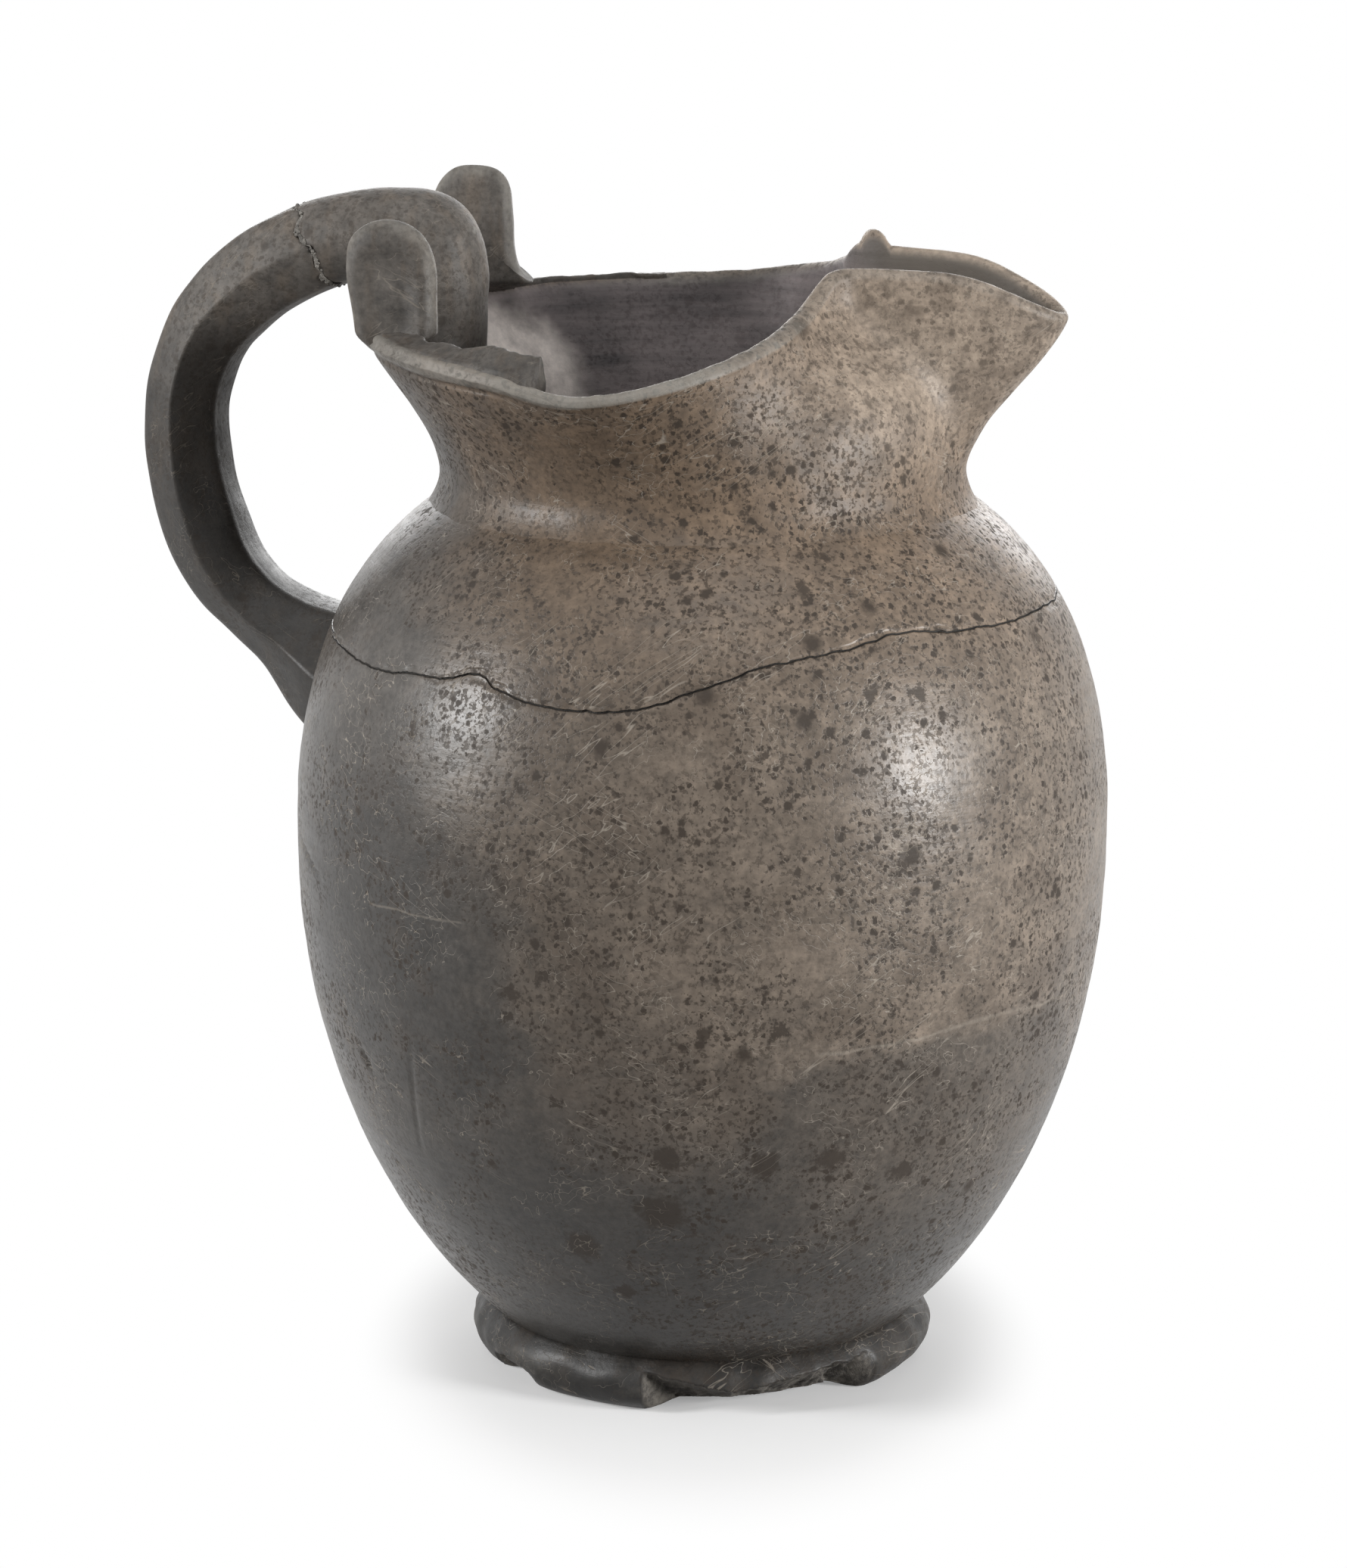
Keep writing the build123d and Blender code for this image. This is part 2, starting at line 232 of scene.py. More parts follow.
class ClayFinish(bpy.types.PropertyGroup):
    """Colours and gloss of the fired clay."""

    tan: colour_prop("Tan", "Warm clay on the spout's side", (0.190, 0.153, 0.120))
    shoulder: colour_prop("Shoulder", "Warm clay on shoulder and neck", (0.158, 0.108, 0.069))
    # Spout: the tan painted paler as painted light, where the right softbox lights the spout's side
    spout: colour_prop("Spout", "Pale clay under the spout", (0.335, 0.272, 0.214))
    grey: colour_prop("Grey", "Smoked clay on the handle's side", (0.076, 0.068, 0.060))
    dark: colour_prop("Dark", "Smoked clay low on the body", (0.045, 0.0405, 0.036))
    soot: colour_prop("Soot", "Sooty patch on the belly", (0.045, 0.042, 0.039))
    streak: colour_prop("Streak", "Brown streaks in smoked clay", (0.098, 0.078, 0.060))
    brown: colour_prop("Brown", "Brown clouds under the specks", (0.085, 0.063, 0.046))
    stain: colour_prop("Stain", "Dark brown specks and stains", (0.024, 0.016, 0.010))
    scratch: colour_prop("Scratch", "Pale scratches and tide line", (0.38, 0.335, 0.28))
    # Inside: dull clay of the mouth, painted paler to stand in for light falling into the mouth
    inside: colour_prop("Inside", "Dull clay inside the mouth", (0.226, 0.194, 0.191))
    mouth_dark: colour_prop("Mouth dark", "Dark strokes inside the mouth", (0.062, 0.056, 0.058))
    mouth_pale: colour_prop("Mouth pale", "Pale patch beside the handle", (0.92, 0.84, 0.78))
    mouth_spout: colour_prop("Mouth spout", "Clay inside the spout", (0.122, 0.105, 0.085))
    worn: colour_prop("Worn", "Rubbed clay on lip and edges", (0.280, 0.266, 0.238))
    scar_dark: colour_prop("Scar dark", "Dark grit in broken faces", (0.052, 0.047, 0.043))
    scar_light: colour_prop("Scar light", "Light grit in broken faces", (0.17, 0.155, 0.135))
    slit: colour_prop("Slit", "Floor of the small cracks", (0.013, 0.011, 0.010))
    crack_dark: colour_prop("Crack dark", "Dark of the shoulder's fill", (0.012, 0.011, 0.010))
    crack_light: colour_prop("Crack light", "Light of the shoulder's fill", (0.06, 0.053, 0.046))
    fill_dark: colour_prop("Fill dark", "Dark of the handle's fill", (0.05, 0.045, 0.04))
    fill: colour_prop("Fill", "Gritty fill in the handle's break", (0.30, 0.28, 0.25))
    gloss: FloatProperty(
        name="Roughness", description="Roughness of the burnished clay", subtype="FACTOR",
        min=0, max=1, default=0.35)


class StageSettings(bpy.types.PropertyGroup):
    """Camera and light of the studio."""

    azimuth: turn_prop("Azimuth", "Way round from the near side to the spout's side", 13.3)
    elevation: turn_prop("Elevation", "Height of the camera above the horizon", 12.8)
    distance: length_prop("Distance", "Camera's distance from its aim", 0.960)
    lens: FloatProperty(name="Lens", description="Focal length", default=99.03, unit="CAMERA")
    left_power: power_prop("Left softbox", "Power of the left softbox", 11.4)
    right_power: power_prop("Right softbox", "Power of the right softbox", 14.4)
    top_power: power_prop("Top softbox", "Power of the overhead softbox", 3.6)
    back_power: power_prop("Back softbox", "Power of the softbox behind the jug", 9.5)


class Field:
    """A node's output socket that Python's operators work on."""

    def __init__(self, graph, socket):
        self.graph = graph
        self.socket = socket

    def math(self, operation, *others):
        return self.graph.math(operation, self, *others)

    def __add__(self, other):
        return self.math("ADD", other)

    __radd__ = __add__

    def __sub__(self, other):
        return self.math("SUBTRACT", other)

    def __rsub__(self, other):
        return self.graph.math("SUBTRACT", other, self)

    def __mul__(self, other):
        return self.math("MULTIPLY", other)

    __rmul__ = __mul__

    def __truediv__(self, other):
        return self.math("DIVIDE", other)

    def __pow__(self, other):
        return self.math("POWER", other)

    def __gt__(self, other):
        return self.math("GREATER_THAN", other)

    def __abs__(self):
        return self.math("ABSOLUTE")

    def clamp(self):
        return self.graph.add("ShaderNodeClamp", {}, {0: self})

    def step(self, low, high):
        """Smooth rise from 0 at low to 1 at high, or a fall where high is the smaller."""
        if low > high:
            return 1 - self.step(high, low)
        sockets = {"Value": self, "From Min": low, "From Max": high}
        return self.graph.add("ShaderNodeMapRange", {"interpolation_type": "SMOOTHSTEP"}, sockets)


class Graph:
    """A node tree that grows by expressions."""

    def __init__(self, tree):
        self.tree = tree

    def add(self, kind, settings, sockets, out=0):
        """Adds any node: its settings come first, then its sockets' values, links or lists of links."""
        node = self.tree.nodes.new(kind)
        for name, value in settings.items():
            if name == "curve":
                line = node.mapping.curves[0]
                for place, height in value[1:-1]:
                    line.points.new(place, height)
                line.points[0].location = value[0]
                line.points[-1].location = value[-1]
                node.mapping.update()
            else:
                setattr(node, name, value)
        for name, value in sockets.items():
            for part in value if isinstance(value, list) else [value]:
                if isinstance(part, Field):
                    self.tree.links.new(part.socket, node.inputs[name])
                else:
                    node.inputs[name].default_value = part
        return Field(self, node.outputs[out]) if node.outputs else None

    def outputs(self, field):
        """All outputs of the node that a field comes from."""
        return [Field(self, socket) for socket in field.socket.node.outputs]

    def math(self, operation, *inputs):
        return self.add("ShaderNodeMath", {"operation": operation}, dict(enumerate(inputs)))

    def mix(self, factor, first, second, blend="MIX"):
        settings = {"data_type": "RGBA", "blend_type": blend, "clamp_factor": True}
        first, second = (c if isinstance(c, Field) else (*c, 1.0) for c in (first, second))
        return self.add("ShaderNodeMix", settings, {0: factor, 6: first, 7: second}, out=2)

    def neutral(self, value):
        """A grey as light as a value."""
        return self.add("ShaderNodeCombineColor", {}, {0: value, 1: value, 2: value})

    def place(self):
        """Where a point of the surface lies, in the frame's metres."""
        return self.add("ShaderNodeTexCoord", {}, {}, out=3)

    def mark(self, name):
        """A value that the mesh carries by name."""
        return self.add("ShaderNodeAttribute", {"attribute_name": name}, {}, out=2)

    def split(self, vector):
        return self.outputs(self.add("ShaderNodeSeparateXYZ", {}, {0: vector}))

    def point(self, x, y, z=0.0):
        return self.add("ShaderNodeCombineXYZ", {}, {0: x, 1: y, 2: z})

    def distance(self, vector, spot):
        return self.add("ShaderNodeVectorMath", {"operation": "DISTANCE"}, {0: vector, 1: spot}, out=1)

    def stretch(self, vector, scale, turn=(0.0, 0.0, 0.0)):
        """Turns a vector and then scales its three parts."""
        sockets = {"Vector": vector, "Rotation": turn}
        turned = self.add("ShaderNodeVectorRotate", {"rotation_type": "EULER_XYZ"}, sockets)
        return self.add("ShaderNodeVectorMath", {"operation": "MULTIPLY"}, {0: turned, 1: scale})

    def noise(self, vector, size, detail=2.0, rough=0.5, warp=0.0):
        """Cloudy values about a size in metres, from about 0.25 to 0.75."""
        sockets = {"Vector": vector, "Scale": 1 / size, "Detail": detail, "Roughness": rough}
        return self.add("ShaderNodeTexNoise", {}, {**sockets, "Distortion": warp})

    def cells(self, vector, size):
        return self.add("ShaderNodeTexVoronoi", {"feature": "F1"}, {"Vector": vector, "Scale": 1 / size})

    def shown_rays(self):
        """One for the rays that show the background: the camera's, and by gloss or through glass."""
        outputs = self.add("ShaderNodeLightPath", {}, {}).socket.node.outputs
        names = ("Is Camera Ray", "Is Glossy Ray", "Is Transmission Ray")
        camera, gloss, glass = (Field(self, outputs[name]) for name in names)
        return (camera + gloss + glass).clamp()


def greatest(fields):
    """The greatest of several fields at each point."""
    return functools.reduce(lambda first, second: first.math("MAXIMUM", second), fields)


def fresh_graph(owner):
    """The empty node graph of a new material or world."""
    owner.use_nodes = True
    owner.node_tree.nodes.clear()
    return Graph(owner.node_tree)


def ripples(points, size, seed, count=20):
    """Seeded smooth lumps about a size across, mostly from -1 to 1, at an array of points."""
    draw = np.random.default_rng(seed)
    ways = draw.normal(size=(count, 3))
    ways /= np.linalg.norm(ways, axis=1, keepdims=True)
    phases = draw.uniform(0, 2 * math.pi, count)
    return np.cos(points @ ways.T * (2 * math.pi / size) + phases).sum(axis=-1) / math.sqrt(count)


def ease(values, low, high):
    """Smooth rise from 0 at low to 1 at high."""
    share = np.clip((values - low) / (high - low), 0, 1)
    return share * share * (3 - 2 * share)


def evenly(line, course, count, endpoint=True):
    """Places spread along a line of points, evenly by the length of its course."""
    run = np.concatenate(([0], np.cumsum(np.linalg.norm(np.diff(course, axis=0), axis=1))))
    places = np.linspace(0, run[-1], count, endpoint=endpoint)
    return np.stack([np.interp(places, run, column) for column in line.T], axis=1)


def curve_through(points, count):
    """Evenly spread places on a smooth line through points, of any number of columns."""
    points = np.array(points, dtype=float)
    ends = (2 * points[0] - points[1], 2 * points[-1] - points[-2])
    padded = np.vstack((ends[0], points, ends[1]))
    parts = []
    steps = np.linspace(0, 1, 24, endpoint=False)[:, None]
    for before, start, stop, after in zip(padded, padded[1:], padded[2:], padded[3:]):
        bend = 2 * before - 5 * start + 4 * stop - after
        twist = 3 * (start - stop) + after - before
        parts.append(start + 0.5 * steps * (stop - before + steps * (bend + steps * twist)))
    line = np.vstack((*parts, points[-1:]))
    return evenly(line, line[:, :2], count)


def closed_curve(points, count):
    """The same for a closed line, whose end isn't given twice."""
    points = np.array(points)
    return curve_through(np.vstack((points, points[:1])), count + 1)[:-1]


def ring_mesh(name, rings, closed, marks=()):
    """A closed mesh through rings of points in millimetres, with named point values on it.

    A closed set of rings joins its last ring to its first; another ends in a point at each end.
    """
    rows, columns, _ = rings.shape
    points = rings.reshape(-1, 3)
    row = np.arange(rows if closed else rows - 1)[:, None]
    column = np.arange(columns)[None, :]
    after, above = (column + 1) % columns, (row + 1) % rows
    corners = ((row, column), (row, after), (above, after), (above, column))
    quads = np.stack(np.broadcast_arrays(*(r * columns + c for r, c in corners)), axis=-1).reshape(-1, 4)
    faces = quads.tolist()
    values = {mark: value.reshape(-1) for mark, value in dict(marks).items()}
    if not closed:
        start, stop, top = len(points), len(points) + 1, (rows - 1) * columns
        points = np.vstack((points, rings[0].mean(axis=0), rings[-1].mean(axis=0)))
        faces += [(start, (k + 1) % columns, k) for k in range(columns)]
        faces += [(stop, top + k, top + (k + 1) % columns) for k in range(columns)]
        values = {m: np.append(v, (v[:columns].mean(), v[-columns:].mean())) for m, v in values.items()}
    first, second, third, fourth = (points[quads[:, k]] for k in range(4))
    volume = (np.cross(first, second) * third).sum() + (np.cross(first, third) * fourth).sum()
    if volume < 0:
        faces = [face[::-1] for face in faces]
    mesh = bpy.data.meshes.new(name)
    mesh.from_pydata((points * MM).tolist(), [], faces)
    for mark, value in values.items():
        mesh.attributes.new(mark, "FLOAT", "POINT").data.foreach_set("value", value.astype(np.float32))
    return mesh


def set_piece(name, mesh, material, slot, *nodes):
    """Puts a finished mesh in the scene, on the jug's body and in place of its CAD nodes."""
    if not mesh.polygons:
        raise RuntimeError(name + " has no faces")
    piece = bpy.data.objects.new(name, mesh)
    bpy.context.scene.collection.objects.link(piece)
    mesh.materials.clear()
    mesh.materials.append(material)
    mesh.polygons.foreach_set("use_smooth", [True] * len(mesh.polygons))
    mesh.update()
    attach(piece, BODY)
    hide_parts(*nodes)


def set_surface(g, colour, rough, height, strength, sheen=0.5):
    """Ends a material in one shader with a bumped surface."""
    bump = g.add("ShaderNodeBump", {}, {"Strength": strength, "Distance": 0.0006, "Height": height})
    shader = g.add("ShaderNodeBsdfPrincipled", {}, {
        "Base Color": colour, "Roughness": rough, "Normal": bump, "Specular IOR Level": sheen})
    g.add("ShaderNodeOutputMaterial", {}, {0: shader})


def clay_material(name, finish, smoke=0.0, specks=1.0, scratches=1.0, dullness=0.0, tone=1.0, lift=0.0):
    """Burnished clay: tan and smoke-grey zones, specks, stains, scratches and polishing strokes.

    Smoke greys it all over and tone darkens it. Lift pales it again towards the rim, as painted light on
    tops that are lit from above.
    """
    if name in bpy.data.materials:
        return bpy.data.materials[name]
    material = bpy.data.materials.new(name)
    g = fresh_graph(material)
    place = g.place()
    x, y, z = g.split(place)
    inside, worn, broken, slit = map(g.mark, ("inside", "worn", "broken", "slit"))

    broad = g.noise(place, 0.075, 3.0, 0.55) - 0.5
    cloud = g.noise(place, 0.022, 4.0, 0.6) - 0.5
    patch = g.noise(place, 0.0048, 4.0, 0.68) - 0.5
    grain = g.noise(place, 0.0016, 3.0, 0.6) - 0.5
    strokes = g.noise(g.stretch(place, (1.0, 1.0, 14.0)), 0.030, 4.0, 0.62) - 0.5

    # Zones: warm towards the spout and on the far side, smoke-grey between, darker low on the body
    reach = (x * x + y * y).math("SQRT") + 0.002
    ways = (math.radians(WARM_WAY), math.radians(FAR_WARM_WAY))
    facing, far_facing = ((x * math.cos(way) + y * math.sin(way)) / reach for way in ways)
    upward = z.step(0.150, 0.205)
    warm = facing.math("MAXIMUM", far_facing * 1.1 - 0.42) + broad * 0.9 + cloud * 0.55
    warm = (warm + upward * 0.46 - smoke * 1.9).step(0.14, 0.60)
    right_side = facing.step(0.74, 0.95)
    low_edge = z + broad * 0.045 * (1 - right_side * 0.8) + cloud * 0.012 - right_side * 0.019
    tide = (0.38 + 0.62 * low_edge.step(0.070, 0.0765)) * z.step(0.030, 0.070)
    warm = warm * (low_edge.step(0.056, 0.098) * (1 - right_side) + tide * right_side)
    grey = g.mix(low_edge.step(0.125, 0.028), finish.grey, finish.dark)
    tan = g.mix(facing.step(0.55, 1.0), [part * 0.66 for part in finish.tan], finish.tan)
    tan = g.mix(upward * 0.75, tan, finish.shoulder)
    # Painted light: the neck and spout on the spout's side are paled where the right softbox lights them
    lit_spout_side = (x + cloud * 0.02).step(0.012, 0.048) * z.step(0.197, 0.226)
    tan = g.mix(lit_spout_side * 0.9, tan, finish.spout)
    colour = g.mix(warm, grey, tan)
    soot = (g.distance(place, SOOT_PLACE) + broad * 0.03 + cloud * 0.02).step(0.054, 0.018)
    colour = g.mix(soot * 0.9, colour, finish.soot)

    # Mottle and polishing strokes
    streaks = g.noise(g.stretch(place, (1.0, 1.0, 0.28)), 0.0055, 4.0, 0.6)
    colour = g.mix(streaks.step(0.46, 0.66) * (0.55 * smoke), colour, finish.streak)
    mottle = cloud * 0.76 + broad * 0.30 + patch * (1.35 + 0.45 * smoke) + strokes * 0.42 + grain * 1.35
    # Lift is painted light: the clay is paler towards the rim, where crowns and tops are lit from above
    shade = (tone + lift * z.step(0.205, 0.246)) * (1 + mottle)
    colour = g.mix(1.0, colour, g.neutral(shade), "MULTIPLY")

    # Brown clouds, then specks of three sizes that crowd together
    crowd = g.noise(place, 0.026, 3.0, 0.6, 0.5) + broad * 0.25 + warm * 0.06
    cluster = (crowd + facing.step(0.70, 1.0) * 0.05 + upward * 0.04).step(0.38, 0.62)
    brown = (g.noise(place, 0.013, 5.0, 0.7, 0.5) + (cluster - 0.5) * 0.12).step(0.50, 0.70)
    colour = g.mix(brown * (0.45 + 0.55 * warm) * (0.50 * specks), colour, finish.brown)
    fine = g.noise(place, 0.0011, 3.0, 0.62).step(0.52, 0.60) * (0.26 + 0.74 * cluster)
    shake = g.add("ShaderNodeTexNoise", {}, {"Vector": place, "Scale": 1100.0, "Detail": 3.0}, out=1)
    shake = g.add("ShaderNodeVectorMath", {"operation": "SCALE"}, {0: shake, "Scale": 0.0017})
    warped = g.add("ShaderNodeVectorMath", {"operation": "ADD"}, {0: place, 1: shake})
    spots = [fine * 0.74]
    for size, start, radius in SPECKS:
        middle = g.cells(warped, size)
        odds = g.add("ShaderNodeSeparateColor", {}, {0: g.outputs(middle)[1]})
        grown = (odds * (0.35 + 0.65 * cluster)).step(start, 1.0) * radius
        spots.append((grown - middle).step(-0.10, 0.12) * grown.step(0.0, 0.12))
    stained = greatest(spots) * (specks * (1 - lit_spout_side * 0.45))

    # Larger stains at their own places, with ragged edges
    ragged = (g.noise(place, 0.0032, 4.0, 0.7) - 0.5) * 0.009
    blots = []
    for *spot, radius in STAINS:
        away = g.distance(place, tuple(part * MM for part in spot)) + ragged
        blots.append(away.step(radius * MM * 1.05, radius * MM * 0.55))
    stained = stained.math("MAXIMUM", greatest(blots) * (0.88 * specks))
    colour = g.mix(stained * 0.94, colour, finish.stain)

    # Fine pale scratches, and the pale lines at their own places
    lines = []
    for turned, width in SCRATCHES:
        streak = g.noise(g.stretch(place, (1.0, 0.06, 1.0), turned), 0.0022, 1.0, 0.4)
        gate = g.noise(g.stretch(place, (1.0, 0.35, 1.0), turned), 0.011, 1.0).step(0.55, 0.63)
        lines.append(abs(streak - 0.5).step(width, 0.0) * gate)
    turn = y.math("ARCTAN2", x)
    wave = cloud * 0.003 + patch * 0.001
    faded = (0.45 + patch * 1.2).clamp()
    for start_turn, start_height, stop_turn, stop_height, width in PALE_LINES:
        share = (turn - math.radians(start_turn)) / math.radians(stop_turn - start_turn)
        course = start_height * MM + share.clamp() * ((stop_height - start_height) * MM)
        band = share.step(-0.02, 0.06) * share.step(1.02, 0.94)
        lines.append(abs(z - course + wave).step(width * MM, 0.0) * band * faded)
    lines = greatest(lines)
    colour = g.mix(lines * (0.62 * scratches), colour, finish.scratch)

    # Inside of the mouth, its dull clay painted paler to stand in for light falling into it, then rubbed
    # edges and broken faces
    mouth = g.mix((cloud * 2.2 + strokes * 1.4 + 0.35).clamp(), finish.inside, finish.mouth_dark)
    pale = (g.distance(place, PALE_PLACE) + broad * 0.02 + cloud * 0.03).step(0.022, 0.008)
    pale = pale * (0.85 + cloud * 1.3 + patch * 1.5).clamp()
    mouth = g.mix(pale * 0.95, mouth, finish.mouth_pale)
    mouth = g.mix(x.step(0.020, 0.042) * 0.85, mouth, finish.mouth_spout)
    colour = g.mix(inside, colour, mouth)
    rub = (worn + cloud * 0.7 + patch * 1.1 + grain * 0.6) * worn.step(0.05, 0.5)
    colour = g.mix(rub.clamp() * 0.8, colour, finish.worn)
    grit = g.noise(place, 0.0030, 5.0, 0.75)
    colour = g.mix(broken, colour, g.mix(grit.step(0.35, 0.65), finish.scar_dark, finish.scar_light))
    colour = g.mix(slit.step(0.05, 0.75), colour, finish.slit)

    rough = finish.gloss + dullness + strokes * 0.22 + cloud * 0.14 + grain * 0.12 + stained * 0.28
    rough = rough + lines * 0.2 + z.step(0.184, 0.206) * 0.13
    rough = (rough + inside * 0.14 + worn * 0.10 + broken * 0.40).clamp()
    height = grain * 0.35 + strokes * 0.5 + cloud * 0.9 - stained * 0.20 - lines * 0.22
    set_surface(g, colour, rough, height + broken * grit * 2.6, 0.32, 0.37)
    return material


def fill_material(name, light, dark, size, strength):
    """Matt fill in a mended break, with grains of a size."""
    material = bpy.data.materials.new(name)
    g = fresh_graph(material)
    place = g.place()
    grain = g.noise(place, size, 5.0, 0.72)
    patch = g.noise(place, size * 8, 2.0)
    colour = g.mix((grain * 0.7 + patch * 0.5).step(0.42, 0.80), dark, light)
    set_surface(g, colour, (0.72 + (grain - 0.5) * 0.4).clamp(), grain, strength)
    return material


def geometry_graph(name, named):
    """A new geometry tree with named inputs: its graph, and those inputs by name."""
    tree = bpy.data.node_groups.new(name, "GeometryNodeTree")
    tree.interface.new_socket("Geometry", in_out="OUTPUT", socket_type="NodeSocketGeometry")
    for label, kind in named.items():
        tree.interface.new_socket(label, in_out="INPUT", socket_type="NodeSocket" + kind)
    g = Graph(tree)
    return g, dict(zip(named, g.outputs(g.add("NodeGroupInput", {}, {}))))


def end_tree(g, shape, material):
    """Ends a geometry tree in real geometry with its material."""
    real = g.add("GeometryNodeRealizeInstances", {}, {0: shape})
    clad = g.add("GeometryNodeSetMaterial", {}, {"Geometry": real, "Material": material})
    g.add("NodeGroupOutput", {}, {0: clad})
    return g.tree


def wall_tree(sizes):
    """Geometry nodes for a thrown wall between two heights, either of which may follow the break."""
    lengths = ("Low", "Low Follows", "High", "High Follows", "Base", "Outer Share", "Low Crowd",
               "High Crowd", "Recess", "Chamfer")
    g, given = geometry_graph("thrown_wall", {
        "Columns": "Int", "Rows": "Int", **dict.fromkeys(lengths, "Float"), "Material": "Material"})
    grid = g.add("GeometryNodeMeshGrid", {}, {
        "Size X": 1.0, "Size Y": 1.0, "Vertices X": given["Columns"], "Vertices Y": given["Rows"]})
    across, along, _ = g.split(g.add("GeometryNodeInputPosition", {}, {}))
    across, along = across + 0.5, along + 0.5

    # Columns crowd towards the near side, where the cracks are
    crowd = ((across - 0.17) * (2 * math.pi)).math("SINE") * 0.075
    turn = (across - crowd) * (2 * math.pi) - math.pi
    inner = along > given["Outer Share"] + 1e-5
    last = along > 0.99999
    climb = along / given["Outer Share"] * (1 - inner) + (1 - along) / (1 - given["Outer Share"]) * inner
    inset = sizes.wall * inner * (1 - last * (1 - given["Base"]))
    floor_share = 0.06
    spread = 1 - given["Base"] * (1 - (climb / floor_share).clamp())
    rise = ((climb - given["Base"] * floor_share) / (1 - given["Base"] * floor_share)).clamp()
    rise = 1 - (1 - rise ** given["Low Crowd"]) ** given["High Crowd"]

    # The break line: its drawn course, the same on both sides, and a jagged edge
    ways = (turn.math("COSINE"), turn.math("SINE"))
    circle = g.point(*ways)
    line = [(angle / 180, (height - BREAK_LOW) / BREAK_SPAN) for angle, height in BREAK_LINE]
    drawn = g.add("ShaderNodeFloatCurve", {"curve": line}, {1: abs(turn) / math.pi})
    jag = g.noise(circle, 0.050, 4.0, 0.65) - 0.5
    teeth = g.noise(circle, 0.011, 3.0, 0.7) - 0.5
    crack_line = (drawn * BREAK_SPAN + BREAK_LOW + jag * 1.5 + teeth * 0.55) * MM
    low = given["Low"] + given["Low Follows"] * crack_line + inner * given["Base"] * 0.006
    high = given["High"] + given["High Follows"] * crack_line
    height = low + (high - low) * rise

    # Outline of the body: one rounded curve below the belly and a fuller one above it
    lower_ratio = sizes.base_radius / sizes.belly_radius
    lower_span = (sizes.belly_height - sizes.base_height) / math.sqrt(1 - lower_ratio ** 2)
    fullness = 2.42
    upper_ratio = (sizes.neck_radius / sizes.belly_radius) ** fullness
    upper_span = (sizes.neck_height - sizes.belly_height) / (1 - upper_ratio) ** (1 / fullness)
    offset = height - sizes.belly_height
    below = (1 - (offset / lower_span) ** 2).math("MAXIMUM", 0.0).math("SQRT")
    above = 1 - (offset / upper_span).math("MAXIMUM", 0.0) ** fullness
    above = above.math("MAXIMUM", 0.0) ** (1 / fullness)
    upper = offset > 0.0
    radius = (below * (1 - upper) + above * upper) * sizes.belly_radius

    # Hand-made unevenness, chipped edges along the break, and small cracks
    where = g.point(ways[0] * radius, ways[1] * radius, height)
    uneven = (g.noise(where, 0.070, 1.0) - 0.5) * 0.0014 + (g.noise(where, 0.018, 2.0) - 0.5) * 0.00035
    flat_strokes = g.noise(g.stretch(where, (1.0, 1.0, 5.0)), 0.045, 2.0) - 0.5
    uneven = uneven + flat_strokes * 0.0004
    low_gap = height - low + (1 - given["Low Follows"])
    high_gap = high - height + (1 - given["High Follows"])
    edge = low_gap.math("MINIMUM", high_gap)
    nibble = g.noise(where, 0.0035, 3.0, 0.6).step(0.40, 0.66)
    chip = (edge - nibble * 0.0010).step(0.0005, 0.0) * given["Chamfer"] * (0.45 + nibble * 0.9)
    cuts = []
    for start_turn, start_height, stop_turn, stop_height, width, depth in BELLY_CRACKS:
        run_x = math.radians(stop_turn - start_turn) * sizes.belly_radius
        run_z = (stop_height - start_height) * MM
        length = math.hypot(run_x, run_z)
        aside = (turn - math.radians(start_turn)) * sizes.belly_radius + jag * 0.002
        up = height - start_height * MM
        share = ((aside * run_x + up * run_z) / length ** 2).clamp()
        gap_x, gap_z = aside - share * run_x, up - share * run_z
        gap = (gap_x * gap_x + gap_z * gap_z).math("SQRT")
        taper = share * (1 - share) * 3.2 + 0.2
        cuts.append(gap.step(width * MM, 0.0) * taper * (depth * MM))
    groove = greatest(cuts)
    lowered = (chip + groove) * (1 - inner) + given["Recess"] * (1 - inner) + inset
    radius = (radius + uneven - lowered) * spread
    point = g.point(ways[0] * radius, ways[1] * radius, height)
    shape = g.add("GeometryNodeSetPosition", {}, {"Geometry": grid, "Position": point})
    cracked = (chip * 0.5 + groove * 1.3) * (1 - inner) / 0.0008
    slit = groove * (1 - inner) / 0.0007
    for mark, value in (("inside", inner), ("broken", cracked.clamp()), ("slit", slit.clamp())):
        shape = g.add("GeometryNodeStoreNamedAttribute", {"data_type": "FLOAT", "domain": "POINT"}, {
            "Geometry": shape, "Name": mark, "Value": value})
    joined = g.add("GeometryNodeMergeByDistance", {}, {"Geometry": shape, "Distance": 2e-6})
    return end_tree(g, joined, given["Material"])


def grown_mesh(name, tree, values):
    """The plain mesh that a geometry-node tree makes with named input values."""
    carrier = bpy.data.objects.new(name + "_carrier", bpy.data.meshes.new(name + "_carrier"))
    bpy.context.scene.collection.objects.link(carrier)
    modifier = carrier.modifiers.new("nodes", "NODES")
    modifier.node_group = tree
    for item in tree.interface.items_tree:
        if item.in_out == "INPUT" and item.name in values:
            modifier[item.identifier] = values[item.name]
    seen = carrier.evaluated_get(bpy.context.evaluated_depsgraph_get())
    mesh = bpy.data.meshes.new_from_object(seen)
    carrier.modifiers.remove(modifier)
    bpy.data.objects.remove(carrier)
    mesh.name = name
    return mesh


